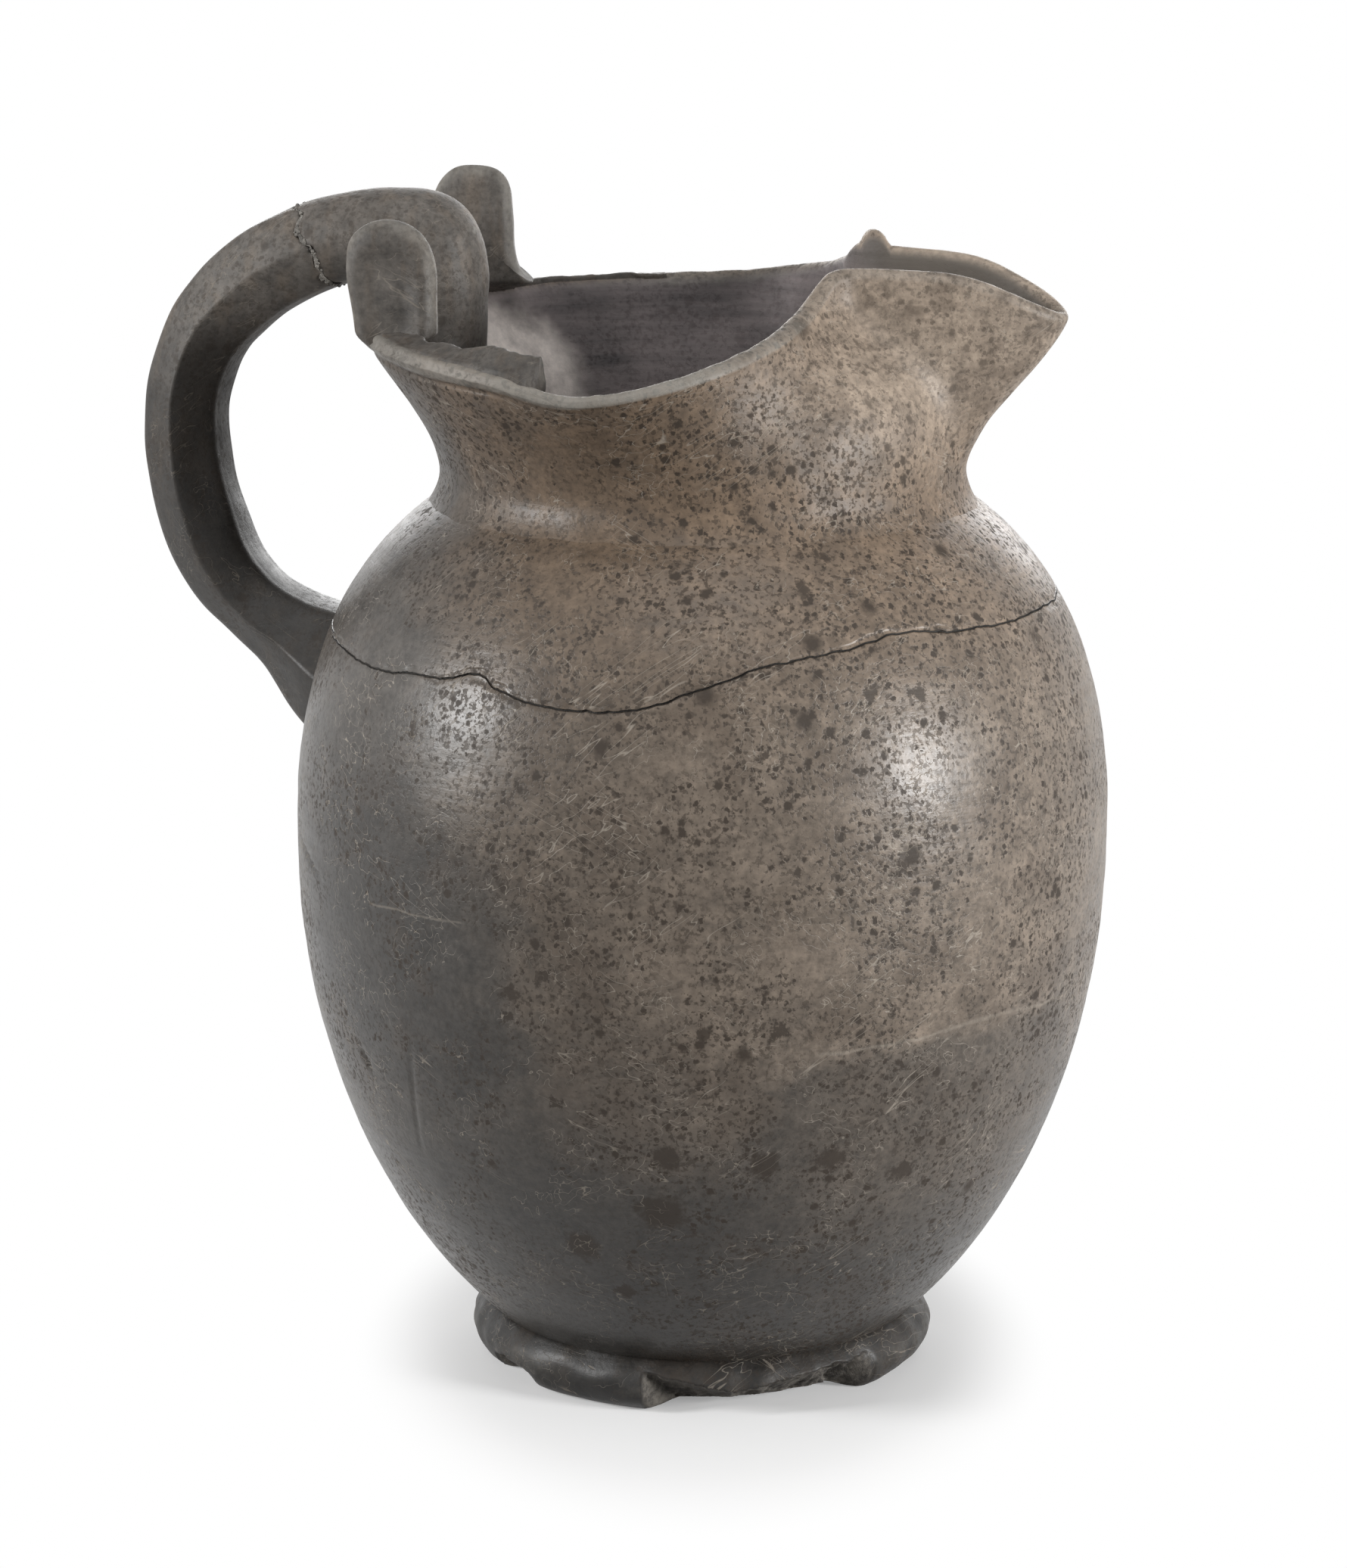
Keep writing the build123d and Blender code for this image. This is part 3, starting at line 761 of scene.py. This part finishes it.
class JUG_OT_body(bpy.types.Operator):
    """Throws the belly and shoulder, with the filled break between them"""

    bl_idname = "jug.body"
    bl_label = "Body"

    def execute(self, context):
        sizes, finish = context.scene.jug_sizes, context.scene.jug_finish
        tree = wall_tree(sizes)
        clay = clay_material("jug_clay", finish)
        dark_fill = fill_material("crack_fill", finish.crack_light, finish.crack_dark, 0.0009, 0.6)
        zeros = ("Low", "Low Follows", "High", "High Follows", "Base", "Recess", "Chamfer")
        common = {"Columns": 381, "Low Crowd": 1.0, "High Crowd": 1.0, **dict.fromkeys(zeros, 0.0)}
        walls = (
            ("lower_wall", "lower_body", "burnished_clay", clay, {
                "Rows": 221, "Low": 0.0072, "High": -sizes.crack, "High Follows": 1.0, "Base": 1.0,
                "Outer Share": 0.82, "High Crowd": 1.35, "Chamfer": 0.00024}),
            ("break_fill", "shoulder_mend", "dark_fill", dark_fill, {
                "Rows": 9, "Low": -sizes.crack, "Low Follows": 1.0, "High Follows": 1.0,
                "Outer Share": 0.5, "Recess": 0.00055}),
            ("upper_wall", "upper_body", "burnished_clay", clay, {
                "Rows": 91, "Low Follows": 1.0, "High": sizes.neck_height + 0.0004, "Outer Share": 0.76,
                "Low Crowd": 1.5, "Chamfer": 0.00024}),
        )
        for name, node, slot, material, values in walls:
            mesh = grown_mesh(name, tree, {**common, **values, "Material": material})
            set_piece(name, mesh, material, slot, node)
        return {"FINISHED"}


def mouth_radius(angles):
    """Radius of the three-lobed outline at full flare, at angles in degrees from the spout."""
    reach, taper = 81.5, 1.7
    pinch, pinch_at, lobe, lobe_at, back = 39.0, 32.0, 76.0, 104.0, 76.5
    side = np.abs((angles + 180) % 360 - 180)
    spout = pinch + (reach - pinch) * (0.5 + 0.5 * np.cos(np.pi * np.minimum(side / pinch_at, 1))) ** taper
    lobes = pinch + (lobe - pinch) * (0.5 - 0.5 * np.cos(np.pi * (side - pinch_at) / (lobe_at - pinch_at)))
    rear = lobe + (back - lobe) * (0.5 - 0.5 * np.cos(np.pi * (side - lobe_at) / (180 - lobe_at)))
    return np.where(side < pinch_at, spout, np.where(side < lobe_at, lobes, rear))


def neck_points(sizes, angles, heights, inset):
    """Points on the neck in millimetres, at angles and heights above the joint, moved inward."""
    collar, flare_height, top = 3.0, 44.5, 58.5
    share = np.clip((heights - collar) / flare_height, 0, 1)
    flare = 0.5 - 0.5 * np.cos(np.pi * share)
    base = sizes.neck_radius / MM

    def outline(turned):
        side = np.abs((turned + 180) % 360 - 180)
        delay = 1 + 1.7 * ease(side, 4, 26) * (1 - ease(side, 34, 74))
        radius = base + (mouth_radius(turned) - base) * flare ** delay
        return radius * np.cos(np.radians(turned)), radius * np.sin(np.radians(turned))

    x, y = outline(angles)
    x_before, y_before = outline(angles - 0.6)
    x_after, y_after = outline(angles + 0.6)
    along = np.arctan2(y_after - y_before, x_after - x_before)
    x, y = x - inset * np.sin(along), y + inset * np.cos(along)
    lean = sizes.mouth_tilt * heights / top
    return np.stack((x, y * np.cos(lean), sizes.neck_height / MM + heights + y * np.sin(lean)), axis=-1)


def rim_level(x, y):
    """Height of the rim in millimetres at places on the jug, before the mouth leans."""
    line, near, far = (curve_through(points, 600) for points in (RIM_LINE, NEAR_RIM_RISE, FAR_RIM_RISE))
    level, near_rise, far_rise = (np.interp(x, part[:, 0], part[:, 1]) for part in (line, near, far))
    return level + near_rise * ease(-y, 4, 24) + far_rise * (y > 0)


def rim_heights(sizes, angles):
    """Height of the rim above the neck joint at angles in degrees from the spout."""
    trial = np.linspace(20, 60, 900)[:, None]
    points = neck_points(sizes, np.broadcast_to(angles, (len(trial), len(angles))), trial, 0.0)
    limit = rim_level(points[..., 0], points[..., 1])
    over = points[..., 2] - points[..., 1] * math.tan(sizes.mouth_tilt) > limit
    return trial[np.argmax(over, axis=0), 0]


class JUG_OT_neck(bpy.types.Operator):
    """Pulls the neck up into the three-lobed mouth with its worn lip"""

    bl_idname = "jug.neck"
    bl_label = "Neck and mouth"

    def execute(self, context):
        sizes, finish = context.scene.jug_sizes, context.scene.jug_finish
        columns = 640
        angles = np.linspace(-180, 180, columns, endpoint=False)
        rim = rim_heights(sizes, angles)
        window = np.array((1, 4, 6, 4, 1)) / 16
        for _ in range(2):
            rim = np.convolve(np.pad(rim, 2, mode="wrap"), window, "valid")
        lip = sizes.lip / MM
        side = np.abs(angles)

        # Rows climb outside, turn over the lip and go down inside to the joint
        outer_rows, inner_rows = 84, 40
        collar_top, skirt_out, skirt_down, tail = 7.0, 5.7, 5.3, -4.0
        rings, inside, worn = [], [], []
        lip_turn = np.linspace(0, np.pi, 13)[1:-1]
        band = 2.3 + 2.7 * ease(side, 85, 130)
        wear = 0.30 + 0.70 * ease(side, 34, 100) - 0.42 * ease(side, 102, 134)
        wear = wear * np.where(angles < 0, 1.0, 0.45)
        for share in np.linspace(0, 1, 12, endpoint=False):
            spread = (1 - share) ** 2 * skirt_out
            heights = np.full(columns, share * share * collar_top - (1 - share) ** 2 * skirt_down)
            rings.append(neck_points(sizes, angles, heights, -spread))
            inside.append(np.zeros(columns))
            worn.append(np.zeros(columns))
        for step in np.linspace(0, 1, outer_rows) ** 0.9:
            heights = collar_top + (rim - lip * 0.5 - collar_top) * step
            drop = rim - heights
            bead = np.exp(-((drop - band * 0.45) / (band * 0.42)) ** 2) * 0.85 * ease(side, 40, 120)
            groove = np.exp(-((drop - band * 1.12) / 0.8) ** 2) * 0.75 * ease(side, 102, 118)
            rings.append(neck_points(sizes, angles, heights, groove - bead))
            inside.append(np.zeros(columns))
            worn.append(wear * ease(-drop, -band * 1.15, -band * 0.75))
        for turn in lip_turn:
            heights = rim - lip * 0.5 + np.sin(turn) * lip * 0.5
            rings.append(neck_points(sizes, angles, heights, lip * 0.5 * (1 - np.cos(turn))))
            inside.append(np.full(columns, ease(turn, 2.0, 3.0)))
            worn.append(wear)
        for step in np.linspace(0, 1, inner_rows):
            heights = (rim - lip * 0.5) * (1 - step) + tail * step
            wall = lip + (sizes.wall / MM - lip) * step
            rings.append(neck_points(sizes, angles, heights, wall))
            inside.append(np.ones(columns))
            worn.append(wear * ease(heights - rim, -lip * 0.5 - 1.5, -lip * 0.5) * 0.6)
        rings = np.array(rings)
        middle = rings * (1, 1, 0)
        outward = middle / np.linalg.norm(middle, axis=-1, keepdims=True)
        lumps = 0.22 * ripples(rings, 34, 11) + 0.10 * ripples(rings, 9, 12)
        chipped = np.array(worn) * (0.13 * ripples(rings, 6, 13) + 0.06 * ripples(rings, 2.4, 14))
        rings = rings + outward * (lumps * 0.6)[..., None]
        rings[..., 2] += chipped - 0.1

        # The knob of clay that stands up at the far corner of the spout
        knob_at, knob_half, knob_rise = 37.5, 2.7, 2.9
        gap = (rings[..., 0] * 0.973 + rings[..., 1] * 0.230 - knob_at) / knob_half
        knob = np.sqrt(np.clip(1 - gap ** 2, 0, 1)) * (rings[..., 1] > 8)
        rings[..., 2] += knob_rise * knob * ease(rings[..., 2], 242, 248)
        marks = {"inside": np.array(inside), "worn": np.array(worn)}
        mesh = ring_mesh("trefoil_neck", rings, True, marks)
        set_piece("trefoil_neck", mesh, clay_material("jug_clay", finish), "burnished_clay", "neck")
        return {"FINISHED"}


def strap_section(half, columns):
    """Section of the handle's strap: share across its thickness and of its half width."""
    half = np.array(half)
    loop = np.vstack((half, (half * (1, -1))[-2:0:-1]))
    closed = np.vstack((loop[-2:], loop, loop[:3]))
    smooth = curve_through(closed, 1200)
    start = np.argmin(np.hypot(*(smooth[:200] - loop[0]).T))
    stop = 1000 + np.argmin(np.hypot(*(smooth[1000:] - loop[0]).T))
    part = smooth[start:stop]
    usual_half = (9, 12.5)
    return evenly(part, part * usual_half, columns, endpoint=False)


def grit_tree():
    """Geometry nodes that scatter seeded grains over a piece of fill."""
    g, given = geometry_graph("scattered_grit", {
        "Fill": "Object", "Spacing": "Float", "Density": "Float", "Grain": "Float", "Seed": "Int",
        "Material": "Material"})
    fill = g.outputs(g.add("GeometryNodeObjectInfo", {}, {0: given["Fill"]}))[-1]
    points = g.add("GeometryNodeDistributePointsOnFaces", {"distribute_method": "POISSON"}, {
        "Mesh": fill, "Distance Min": given["Spacing"], "Density Max": given["Density"],
        "Seed": given["Seed"]})
    grain = g.add("GeometryNodeMeshIcoSphere", {}, {"Radius": given["Grain"], "Subdivisions": 2})
    size = g.add("FunctionNodeRandomValue", {"data_type": "FLOAT"}, {
        2: 0.45, 3: 1.25, 8: given["Seed"]}, out=1)
    grains = g.add("GeometryNodeInstanceOnPoints", {}, {
        "Points": points, "Instance": grain, "Scale": size})
    joined = g.add("GeometryNodeJoinGeometry", {}, {0: [grains, fill]})
    return end_tree(g, joined, given["Material"])


class JUG_OT_handle(bpy.types.Operator):
    """Pulls the strap handle over the rim, breaks it and fills the break"""

    bl_idname = "jug.handle"
    bl_label = "Handle"

    def execute(self, context):
        finish = context.scene.jug_finish
        count, columns = 900, 120
        stations = curve_through(HANDLE_STATIONS, count)
        middle, thickness, width = stations[:, :2], stations[:, 2], stations[:, 3]
        along = np.gradient(middle, axis=0)
        along /= np.linalg.norm(along, axis=1, keepdims=True)
        outward = np.stack((-along[:, 1], along[:, 0]), axis=1)
        rounding = ease(np.arange(count), 500, 620)[:, None, None]
        section = strap_section(HANDLE_SECTION, columns) * (1 - rounding)
        section = section + strap_section(CROWN_SECTION, columns) * rounding
        across = section[..., 0] * thickness[:, None] / 2
        aside = section[..., 1] * width[:, None] / 2
        full = np.stack((
            middle[:, None, 0] + outward[:, None, 0] * across,
            aside,
            middle[:, None, 1] + outward[:, None, 1] * across,
        ), axis=-1)
        sway = 0.45 * ripples(full, 42, 21) + 0.14 * ripples(full, 12, 22)
        core = np.stack((middle[:, 0], np.zeros(len(middle)), middle[:, 1]), axis=1)[:, None, :]
        away = full - core
        full = full + away / np.linalg.norm(away, axis=-1, keepdims=True) * sway[..., None] * 0.7

        # Where each line along the strap meets the leaning, ragged break
        lean, break_x, break_z = math.radians(27.0), -86.5, 248.0
        gap = (full[..., 0] - break_x) * math.cos(lean) + (full[..., 2] - break_z) * math.sin(lean)
        gap = gap + 0.9 * ripples(full, 9, 23) + 0.4 * ripples(full, 3.2, 24)
        crown_start, crown_stop = 420, 760
        cut = crown_start + np.argmax(gap[crown_start:crown_stop] > 0, axis=0)
        rows = np.arange(count)

        def stretch_of(start, stop, steps):
            places = start + (stop - start) * np.linspace(0, 1, steps)[:, None]
            parts = []
            for column in range(columns):
                parts.append([np.interp(places[:, column], rows, full[:, column, k]) for k in range(3)])
            return np.array(parts).transpose(2, 0, 1), places

        zero = np.zeros(columns)
        step = 1.25
        # The handle's clay: tone darkens it, and lift paints light on its crown near the rim
        grey = clay_material("handle_clay", finish, tone=0.36, lift=0.95, **SMOKED)
        fill = fill_material("grit_fill", finish.fill, finish.fill_dark, 0.0012, 1.0)
        lower, lower_places = stretch_of(zero, cut - step, 230)
        upper, upper_places = stretch_of(cut + step, zero + count - 1, 150)
        mend, _ = stretch_of(cut - step * 1.6, cut + step * 1.6, 5)
        stretches = ((lower, lower_places, cut - step), (upper, upper_places, cut + step))
        for points, places, edge in stretches:
            near = np.exp(-np.abs(places - edge) / 1.6)
            nick = near * (0.30 + 0.35 * ripples(points, 4.0, 25))
            pull = points - np.stack([np.interp(places, rows, core[:, 0, k]) for k in range(3)], axis=-1)
            points -= pull / np.linalg.norm(pull, axis=-1, keepdims=True) * np.maximum(nick, 0)[..., None]
        centre = mend.mean(axis=(0, 1))
        mend = centre + (mend - centre) * (1, 0.995, 0.985)
        mend = mend + 0.22 * ripples(mend, 2.6, 26)[..., None]

        # A small nick in the crown, on the near side
        nick_x, nick_z, nick_half = -50.4, 252.0, 1.1
        nick = np.hypot(upper[..., 0] - nick_x, (upper[..., 2] - nick_z) * 1.7) + 6.0 * (upper[..., 1] > 0)
        nick = np.exp(-(nick / nick_half) ** 4)
        upper[..., 1] += 0.6 * nick
        for name, points, material, slot, node in (
            ("handle_rise", lower, grey, "grey_clay", "handle_lower"),
            ("handle_grit", mend, fill, "gritty_fill", "handle_mend"),
            ("handle_crown", upper, grey, "grey_clay", "handle_upper"),
        ):
            mesh = ring_mesh(name, points, False, {"worn": nick} if name == "handle_crown" else {})
            if name == "handle_grit":
                plain = bpy.data.objects.new("plain_fill", mesh)
                context.scene.collection.objects.link(plain)
                mesh = grown_mesh(name, grit_tree(), {
                    "Fill": plain, "Spacing": 0.0006, "Density": 900000.0, "Grain": 0.00042,
                    "Seed": 5, "Material": fill})
                bpy.data.objects.remove(plain)
            set_piece(name, mesh, material, slot, node)
        return {"FINISHED"}


def tucked(sizes, points, start, stop, wrap):
    """Moves what lies below the rim into the neck's wall, from one depth to another in millimetres.

    Clay on the outside may stand proud of the wall by a wrap.
    """
    rim = rim_level(points[..., 0], points[..., 1]) + points[..., 1] * math.tan(sizes.mouth_tilt)
    angles = np.degrees(np.arctan2(points[..., 1], points[..., 0]))
    lean = points[..., 1] * math.tan(sizes.mouth_tilt) * 0.7
    heights = np.clip(points[..., 2] - sizes.neck_height / MM - lean, 5, 58)
    outer = np.linalg.norm(neck_points(sizes, angles, heights, 0.0)[..., :2], axis=-1)
    reach = np.linalg.norm(points[..., :2], axis=-1)
    drop = rim - points[..., 2]
    proud = wrap - (wrap + 0.9) * ease(drop, 2.0, 5.5)
    inside_wall = np.clip(reach, outer - sizes.lip / MM + 0.9, outer + proud)
    below = ease(drop, start, stop)
    scale = 1 + (inside_wall / reach - 1) * below
    return np.concatenate((points[..., :2] * scale[..., None], points[..., 2:]), axis=-1)


def lug_clay(finish):
    """The smoked clay of the lugs and rim strips, paled towards the rim by lift as painted light from
    above.
    """
    return clay_material("lug_clay", finish, tone=0.48, lift=0.66, **SMOKED)


class JUG_OT_lugs(bpy.types.Operator):
    """Stands the two cupped lugs beside the handle"""

    bl_idname = "jug.lugs"
    bl_label = "Lugs"

    def execute(self, context):
        sizes, finish = context.scene.jug_sizes, context.scene.jug_finish
        half, aside = 3.7, 35.0
        edge = 0.84 + 0.16 * np.sin(np.linspace(0.1, np.pi / 2, 9))
        shares = np.concatenate((np.linspace(0.02, 0.84, 30), edge))
        for name, node, side, outline, tuck in (
            ("near_ear", "near_lug", -1, NEAR_LUG, (-0.4, 3.6, 0.8)),
            ("far_ear", "far_lug", 1, FAR_LUG, (-2.6, 0.6, -0.9)),
        ):
            loop = closed_curve(outline, 128)
            low, high = np.min(outline, axis=0), np.max(outline, axis=0)
            middle = low + (high - low) * (0.5, 0.55)
            rings, worn = [], []
            faces = [(1, share) for share in shares] + [(-1, share) for share in shares[::-1]]
            for face, share in faces:
                flat = middle + (loop - middle) * share
                round_off = math.sqrt(max(0.0, 1 - (max(0.0, share - 0.62) / 0.38) ** 2.6))
                hollow = 1.3 * (1 - ease(share, 0.25, 0.78)) if face == 1 else 0.3 * (1 - share)
                depth = np.full(len(loop), side * (aside + face * (half * round_off - hollow)))
                rings.append(np.stack((flat[:, 0], depth, flat[:, 1]), axis=1))
                worn.append(0.45 * ease(share, 0.72, 0.98) * ease(flat[:, 1], 228, 240))
            rings = np.array(rings)
            lumps = 0.16 * ripples(rings, 11, 31) + 0.25 * ripples(rings, 30, 32)
            rings = tucked(sizes, rings + lumps[..., None], *tuck)
            mesh = ring_mesh(name, rings, False, {"worn": np.array(worn)})
            set_piece(name, mesh, lug_clay(finish), "grey_clay", node)
        return {"FINISHED"}


class JUG_OT_strips(bpy.types.Operator):
    """Lays a wedge of clay along the lip from each lug, with a broken end"""

    bl_idname = "jug.strips"
    bl_label = "Rim strips"

    def execute(self, context):
        sizes, finish = context.scene.jug_sizes, context.scene.jug_finish
        start, share = 150.0, np.linspace(0, 1, 90)
        for name, node, side, stop, rise, end_rise, width in (
            ("near_strip", "near_rim_arm", -1, 107.5, 0.9, 6.0, 1.0),
            ("far_strip", "far_rim_arm", 1, 110.0, 0.5, 0.3, 0.55),
        ):
            angles = side * (start + (stop - start) * share)
            height = rise + (end_rise - rise) * share ** 2
            loop = closed_curve(np.array(STRIP_SECTION) * (width, 1), 48)
            rings = []
            for turn, top, tall in zip(angles, rim_heights(sizes, angles), height):
                turns, tops = np.full(len(loop), turn), np.full(len(loop), top)
                ring = neck_points(sizes, turns, tops, loop[:, 0])
                ring[:, 2] += np.where(loop[:, 1] > 0, loop[:, 1] * tall, loop[:, 1]) - 0.2
                rings.append(ring)
            rings = np.array(rings)
            lumps = 0.22 * ripples(rings, 9, 33) + 0.08 * ripples(rings, 3, 34)
            broken = np.zeros(rings.shape[:2])
            broken[-2:] = 0.3
            mesh = ring_mesh(name, rings + lumps[..., None], False, {"broken": broken})
            set_piece(name, mesh, lug_clay(finish), "grey_clay", node)
        return {"FINISHED"}


class JUG_OT_foot(bpy.types.Operator):
    """Rolls the foot ring and breaks the chips out of it"""

    bl_idname = "jug.foot"
    bl_label = "Foot ring"

    def execute(self, context):
        finish = context.scene.jug_finish
        columns = 720
        angles = np.linspace(-180, 180, columns, endpoint=False)
        profile = curve_through(FOOT_SECTION, 110)
        reach = np.repeat(profile[:, :1], columns, axis=1)
        height = np.repeat(profile[:, 1:], columns, axis=1)
        turn = np.radians(angles)[None, :]

        # Chips: each scar's face leans in towards the floor, and its floor is lifted
        broken = np.zeros_like(reach)
        spread = np.stack((reach * np.cos(turn), reach * np.sin(turn), height), axis=-1)
        rough = sum(
            tall * ripples(spread, size, seed)
            for tall, size, seed in ((0.55, 7, 41), (0.35, 3.0, 42), (0.2, 1.5, 43)))
        tread = ease(reach ** 2, 37.0 ** 2, 39.5 ** 2)
        scar_foot, scar_head = 47.0, 51.0
        for start, stop, depth, tops in FOOT_CHIPS:
            share = np.clip((angles - start) / (stop - start), 0, 1)[None, :]
            scar_top = np.interp(share, CHIP_PLACES, tops)
            climb = np.clip(height / scar_top, 0, 1)
            ramp = 0.6 + 8.0 * (1 - climb)
            into = np.clip((angles[None, :] - start) / ramp, 0, 1)
            into = into * ease(-angles[None, :], -stop, -stop + 9.0)
            face = scar_foot - depth + (scar_head - scar_foot + depth) * climb ** 1.4
            limit = face + rough * (0.9 + 0.8 * ease(angles[None, :], -50, -44))
            loss = np.maximum(0, reach - limit) * into * (height < scar_top)
            reach = reach - loss
            lift = (1.5 + 0.5 * rough) * into * tread
            height = np.where(height < 2.4, np.maximum(height, lift), height)
            broken = np.maximum(broken, ease(loss, 0.25, 0.9))
        wobble = 0.35 * ripples(spread, 26, 44) + 0.16 * ripples(spread, 7, 45)
        reach = reach + wobble * (height > 0.6)
        rings = np.stack((reach * np.cos(turn), reach * np.sin(turn), height), axis=-1)
        worn = ease(reach, 50.6, 52.0) * ease(height, 1.0, 4.0) * 0.25
        dark = clay_material(
            "foot_clay", finish, smoke=1.0, specks=0.5, scratches=0.7, dullness=0.10, tone=0.32)
        mesh = ring_mesh("foot_roll", rings, True, {"broken": broken, "worn": worn})
        set_piece("foot_roll", mesh, dark, "dark_clay", "foot_ring")
        return {"FINISHED"}


def orbit(azimuth, elevation, distance):
    """A place in the studio, by its way round from the near side, its height and its distance."""
    level = math.cos(elevation)
    way = (math.sin(azimuth) * level, -math.cos(azimuth) * level, math.sin(elevation))
    return AIM + distance * np.array(way)


def stand(scene, name, data, place):
    """Stands a lamp or camera at a place, turned to the jug."""
    holder = bpy.data.objects.new(name, data)
    scene.collection.objects.link(holder)
    holder.location = place
    holder.rotation_euler = Vector(AIM - place).to_track_quat("-Z", "Y").to_euler()
    return holder


class JUG_OT_stage(bpy.types.Operator):
    """Sets the white floor, the softboxes and the camera"""

    bl_idname = "jug.stage"
    bl_label = "Stage"

    def execute(self, context):
        scene, stage = context.scene, context.scene.jug_stage
        scene.view_settings.view_transform = "Standard"

        # White paper that takes the jug's shadow in an oval round its foot
        half, oval = 14.0, (0.070, 0.104)
        corners = [(-half, -half, 0), (half, -half, 0), (half, half, 0), (-half, half, 0)]
        floor_mesh = bpy.data.meshes.new("studio_floor")
        floor_mesh.from_pydata(corners, [], [(0, 1, 2, 3)])
        floor = bpy.data.objects.new("studio_floor", floor_mesh)
        scene.collection.objects.link(floor)
        paper = bpy.data.materials.new("white_paper")
        g = fresh_graph(paper)
        x, y, _ = g.split(g.place())
        turn_x, turn_y = math.cos(stage.azimuth), math.sin(stage.azimuth)
        across = (x * turn_x + y * turn_y) / oval[0]
        along = (y * turn_x - x * turn_y) / oval[1]
        away = (across * across + along * along).math("SQRT")
        shown = g.shown_rays()
        lit = g.add("ShaderNodeBsdfDiffuse", {}, {"Color": g.neutral(0.24 + 0.74 * shown)})
        white = g.add("ShaderNodeEmission", {}, {"Color": WHITE, "Strength": 1.0})
        share = (0.26 + 0.74 * away.step(0.76, 1.14)) * shown
        far = g.add("ShaderNodeMixShader", {}, {0: share, 1: lit, 2: white})
        g.add("ShaderNodeOutputMaterial", {}, {0: far})
        floor_mesh.materials.append(paper)

        # White all round for the background, and dim for what lights the jug
        world = bpy.data.worlds.new("studio")
        scene.world = world
        g = fresh_graph(world)
        sky = g.add("ShaderNodeBackground", {}, {0: WHITE, 1: 0.10 + g.shown_rays() * 0.90})
        g.add("ShaderNodeOutputWorld", {}, {0: sky})

        for side, (turn, lift, distance, wide, tall) in SOFTBOXES.items():
            lamp = bpy.data.lights.new(side + "_softbox", "AREA")
            lamp.energy = getattr(stage, side + "_power")
            lamp.shape, lamp.size, lamp.size_y = "RECTANGLE", wide, tall
            place = orbit(stage.azimuth + math.radians(turn), math.radians(lift), distance)
            stand(scene, lamp.name, lamp, place)

        camera = bpy.data.cameras.new("camera")
        camera.lens, camera.sensor_width, camera.sensor_height = stage.lens, 36.0, 36.0
        camera.clip_end = 60.0
        place = orbit(stage.azimuth, stage.elevation, stage.distance)
        scene.camera = stand(scene, "camera", camera, place)
        return {"FINISHED"}


class JUG_PT_panel(bpy.types.Panel):
    """Lists the jug's pieces in the sidebar"""

    bl_idname = "JUG_PT_panel"
    bl_label = "Clay oinochoe"
    bl_space_type = "VIEW_3D"
    bl_region_type = "UI"
    bl_category = "Jug"

    def draw(self, context):
        for step in STEPS:
            self.layout.operator(step.bl_idname)
        for name, group in GROUPS:
            box = self.layout.box()
            for setting in group.__annotations__:
                box.prop(getattr(context.scene, name), setting)


STEPS = (
    JUG_OT_body, JUG_OT_neck, JUG_OT_handle, JUG_OT_lugs, JUG_OT_strips, JUG_OT_foot, JUG_OT_stage)
GROUPS = (("jug_sizes", JugSizes), ("jug_finish", ClayFinish), ("jug_stage", StageSettings))


def register():
    for name, group in GROUPS:
        bpy.utils.register_class(group)
        setattr(bpy.types.Scene, name, PointerProperty(type=group))
    for step in STEPS:
        bpy.utils.register_class(step)
    bpy.utils.register_class(JUG_PT_panel)


def unregister():
    bpy.utils.unregister_class(JUG_PT_panel)
    for step in reversed(STEPS):
        bpy.utils.unregister_class(step)
    for name, group in reversed(GROUPS):
        delattr(bpy.types.Scene, name)
        bpy.utils.unregister_class(group)


def main():
    register()
    bpy.ops.jug.body()
    bpy.ops.jug.neck()
    bpy.ops.jug.handle()
    bpy.ops.jug.lugs()
    bpy.ops.jug.strips()
    bpy.ops.jug.foot()
    bpy.ops.jug.stage()


if __name__ == "__main__":
    main()
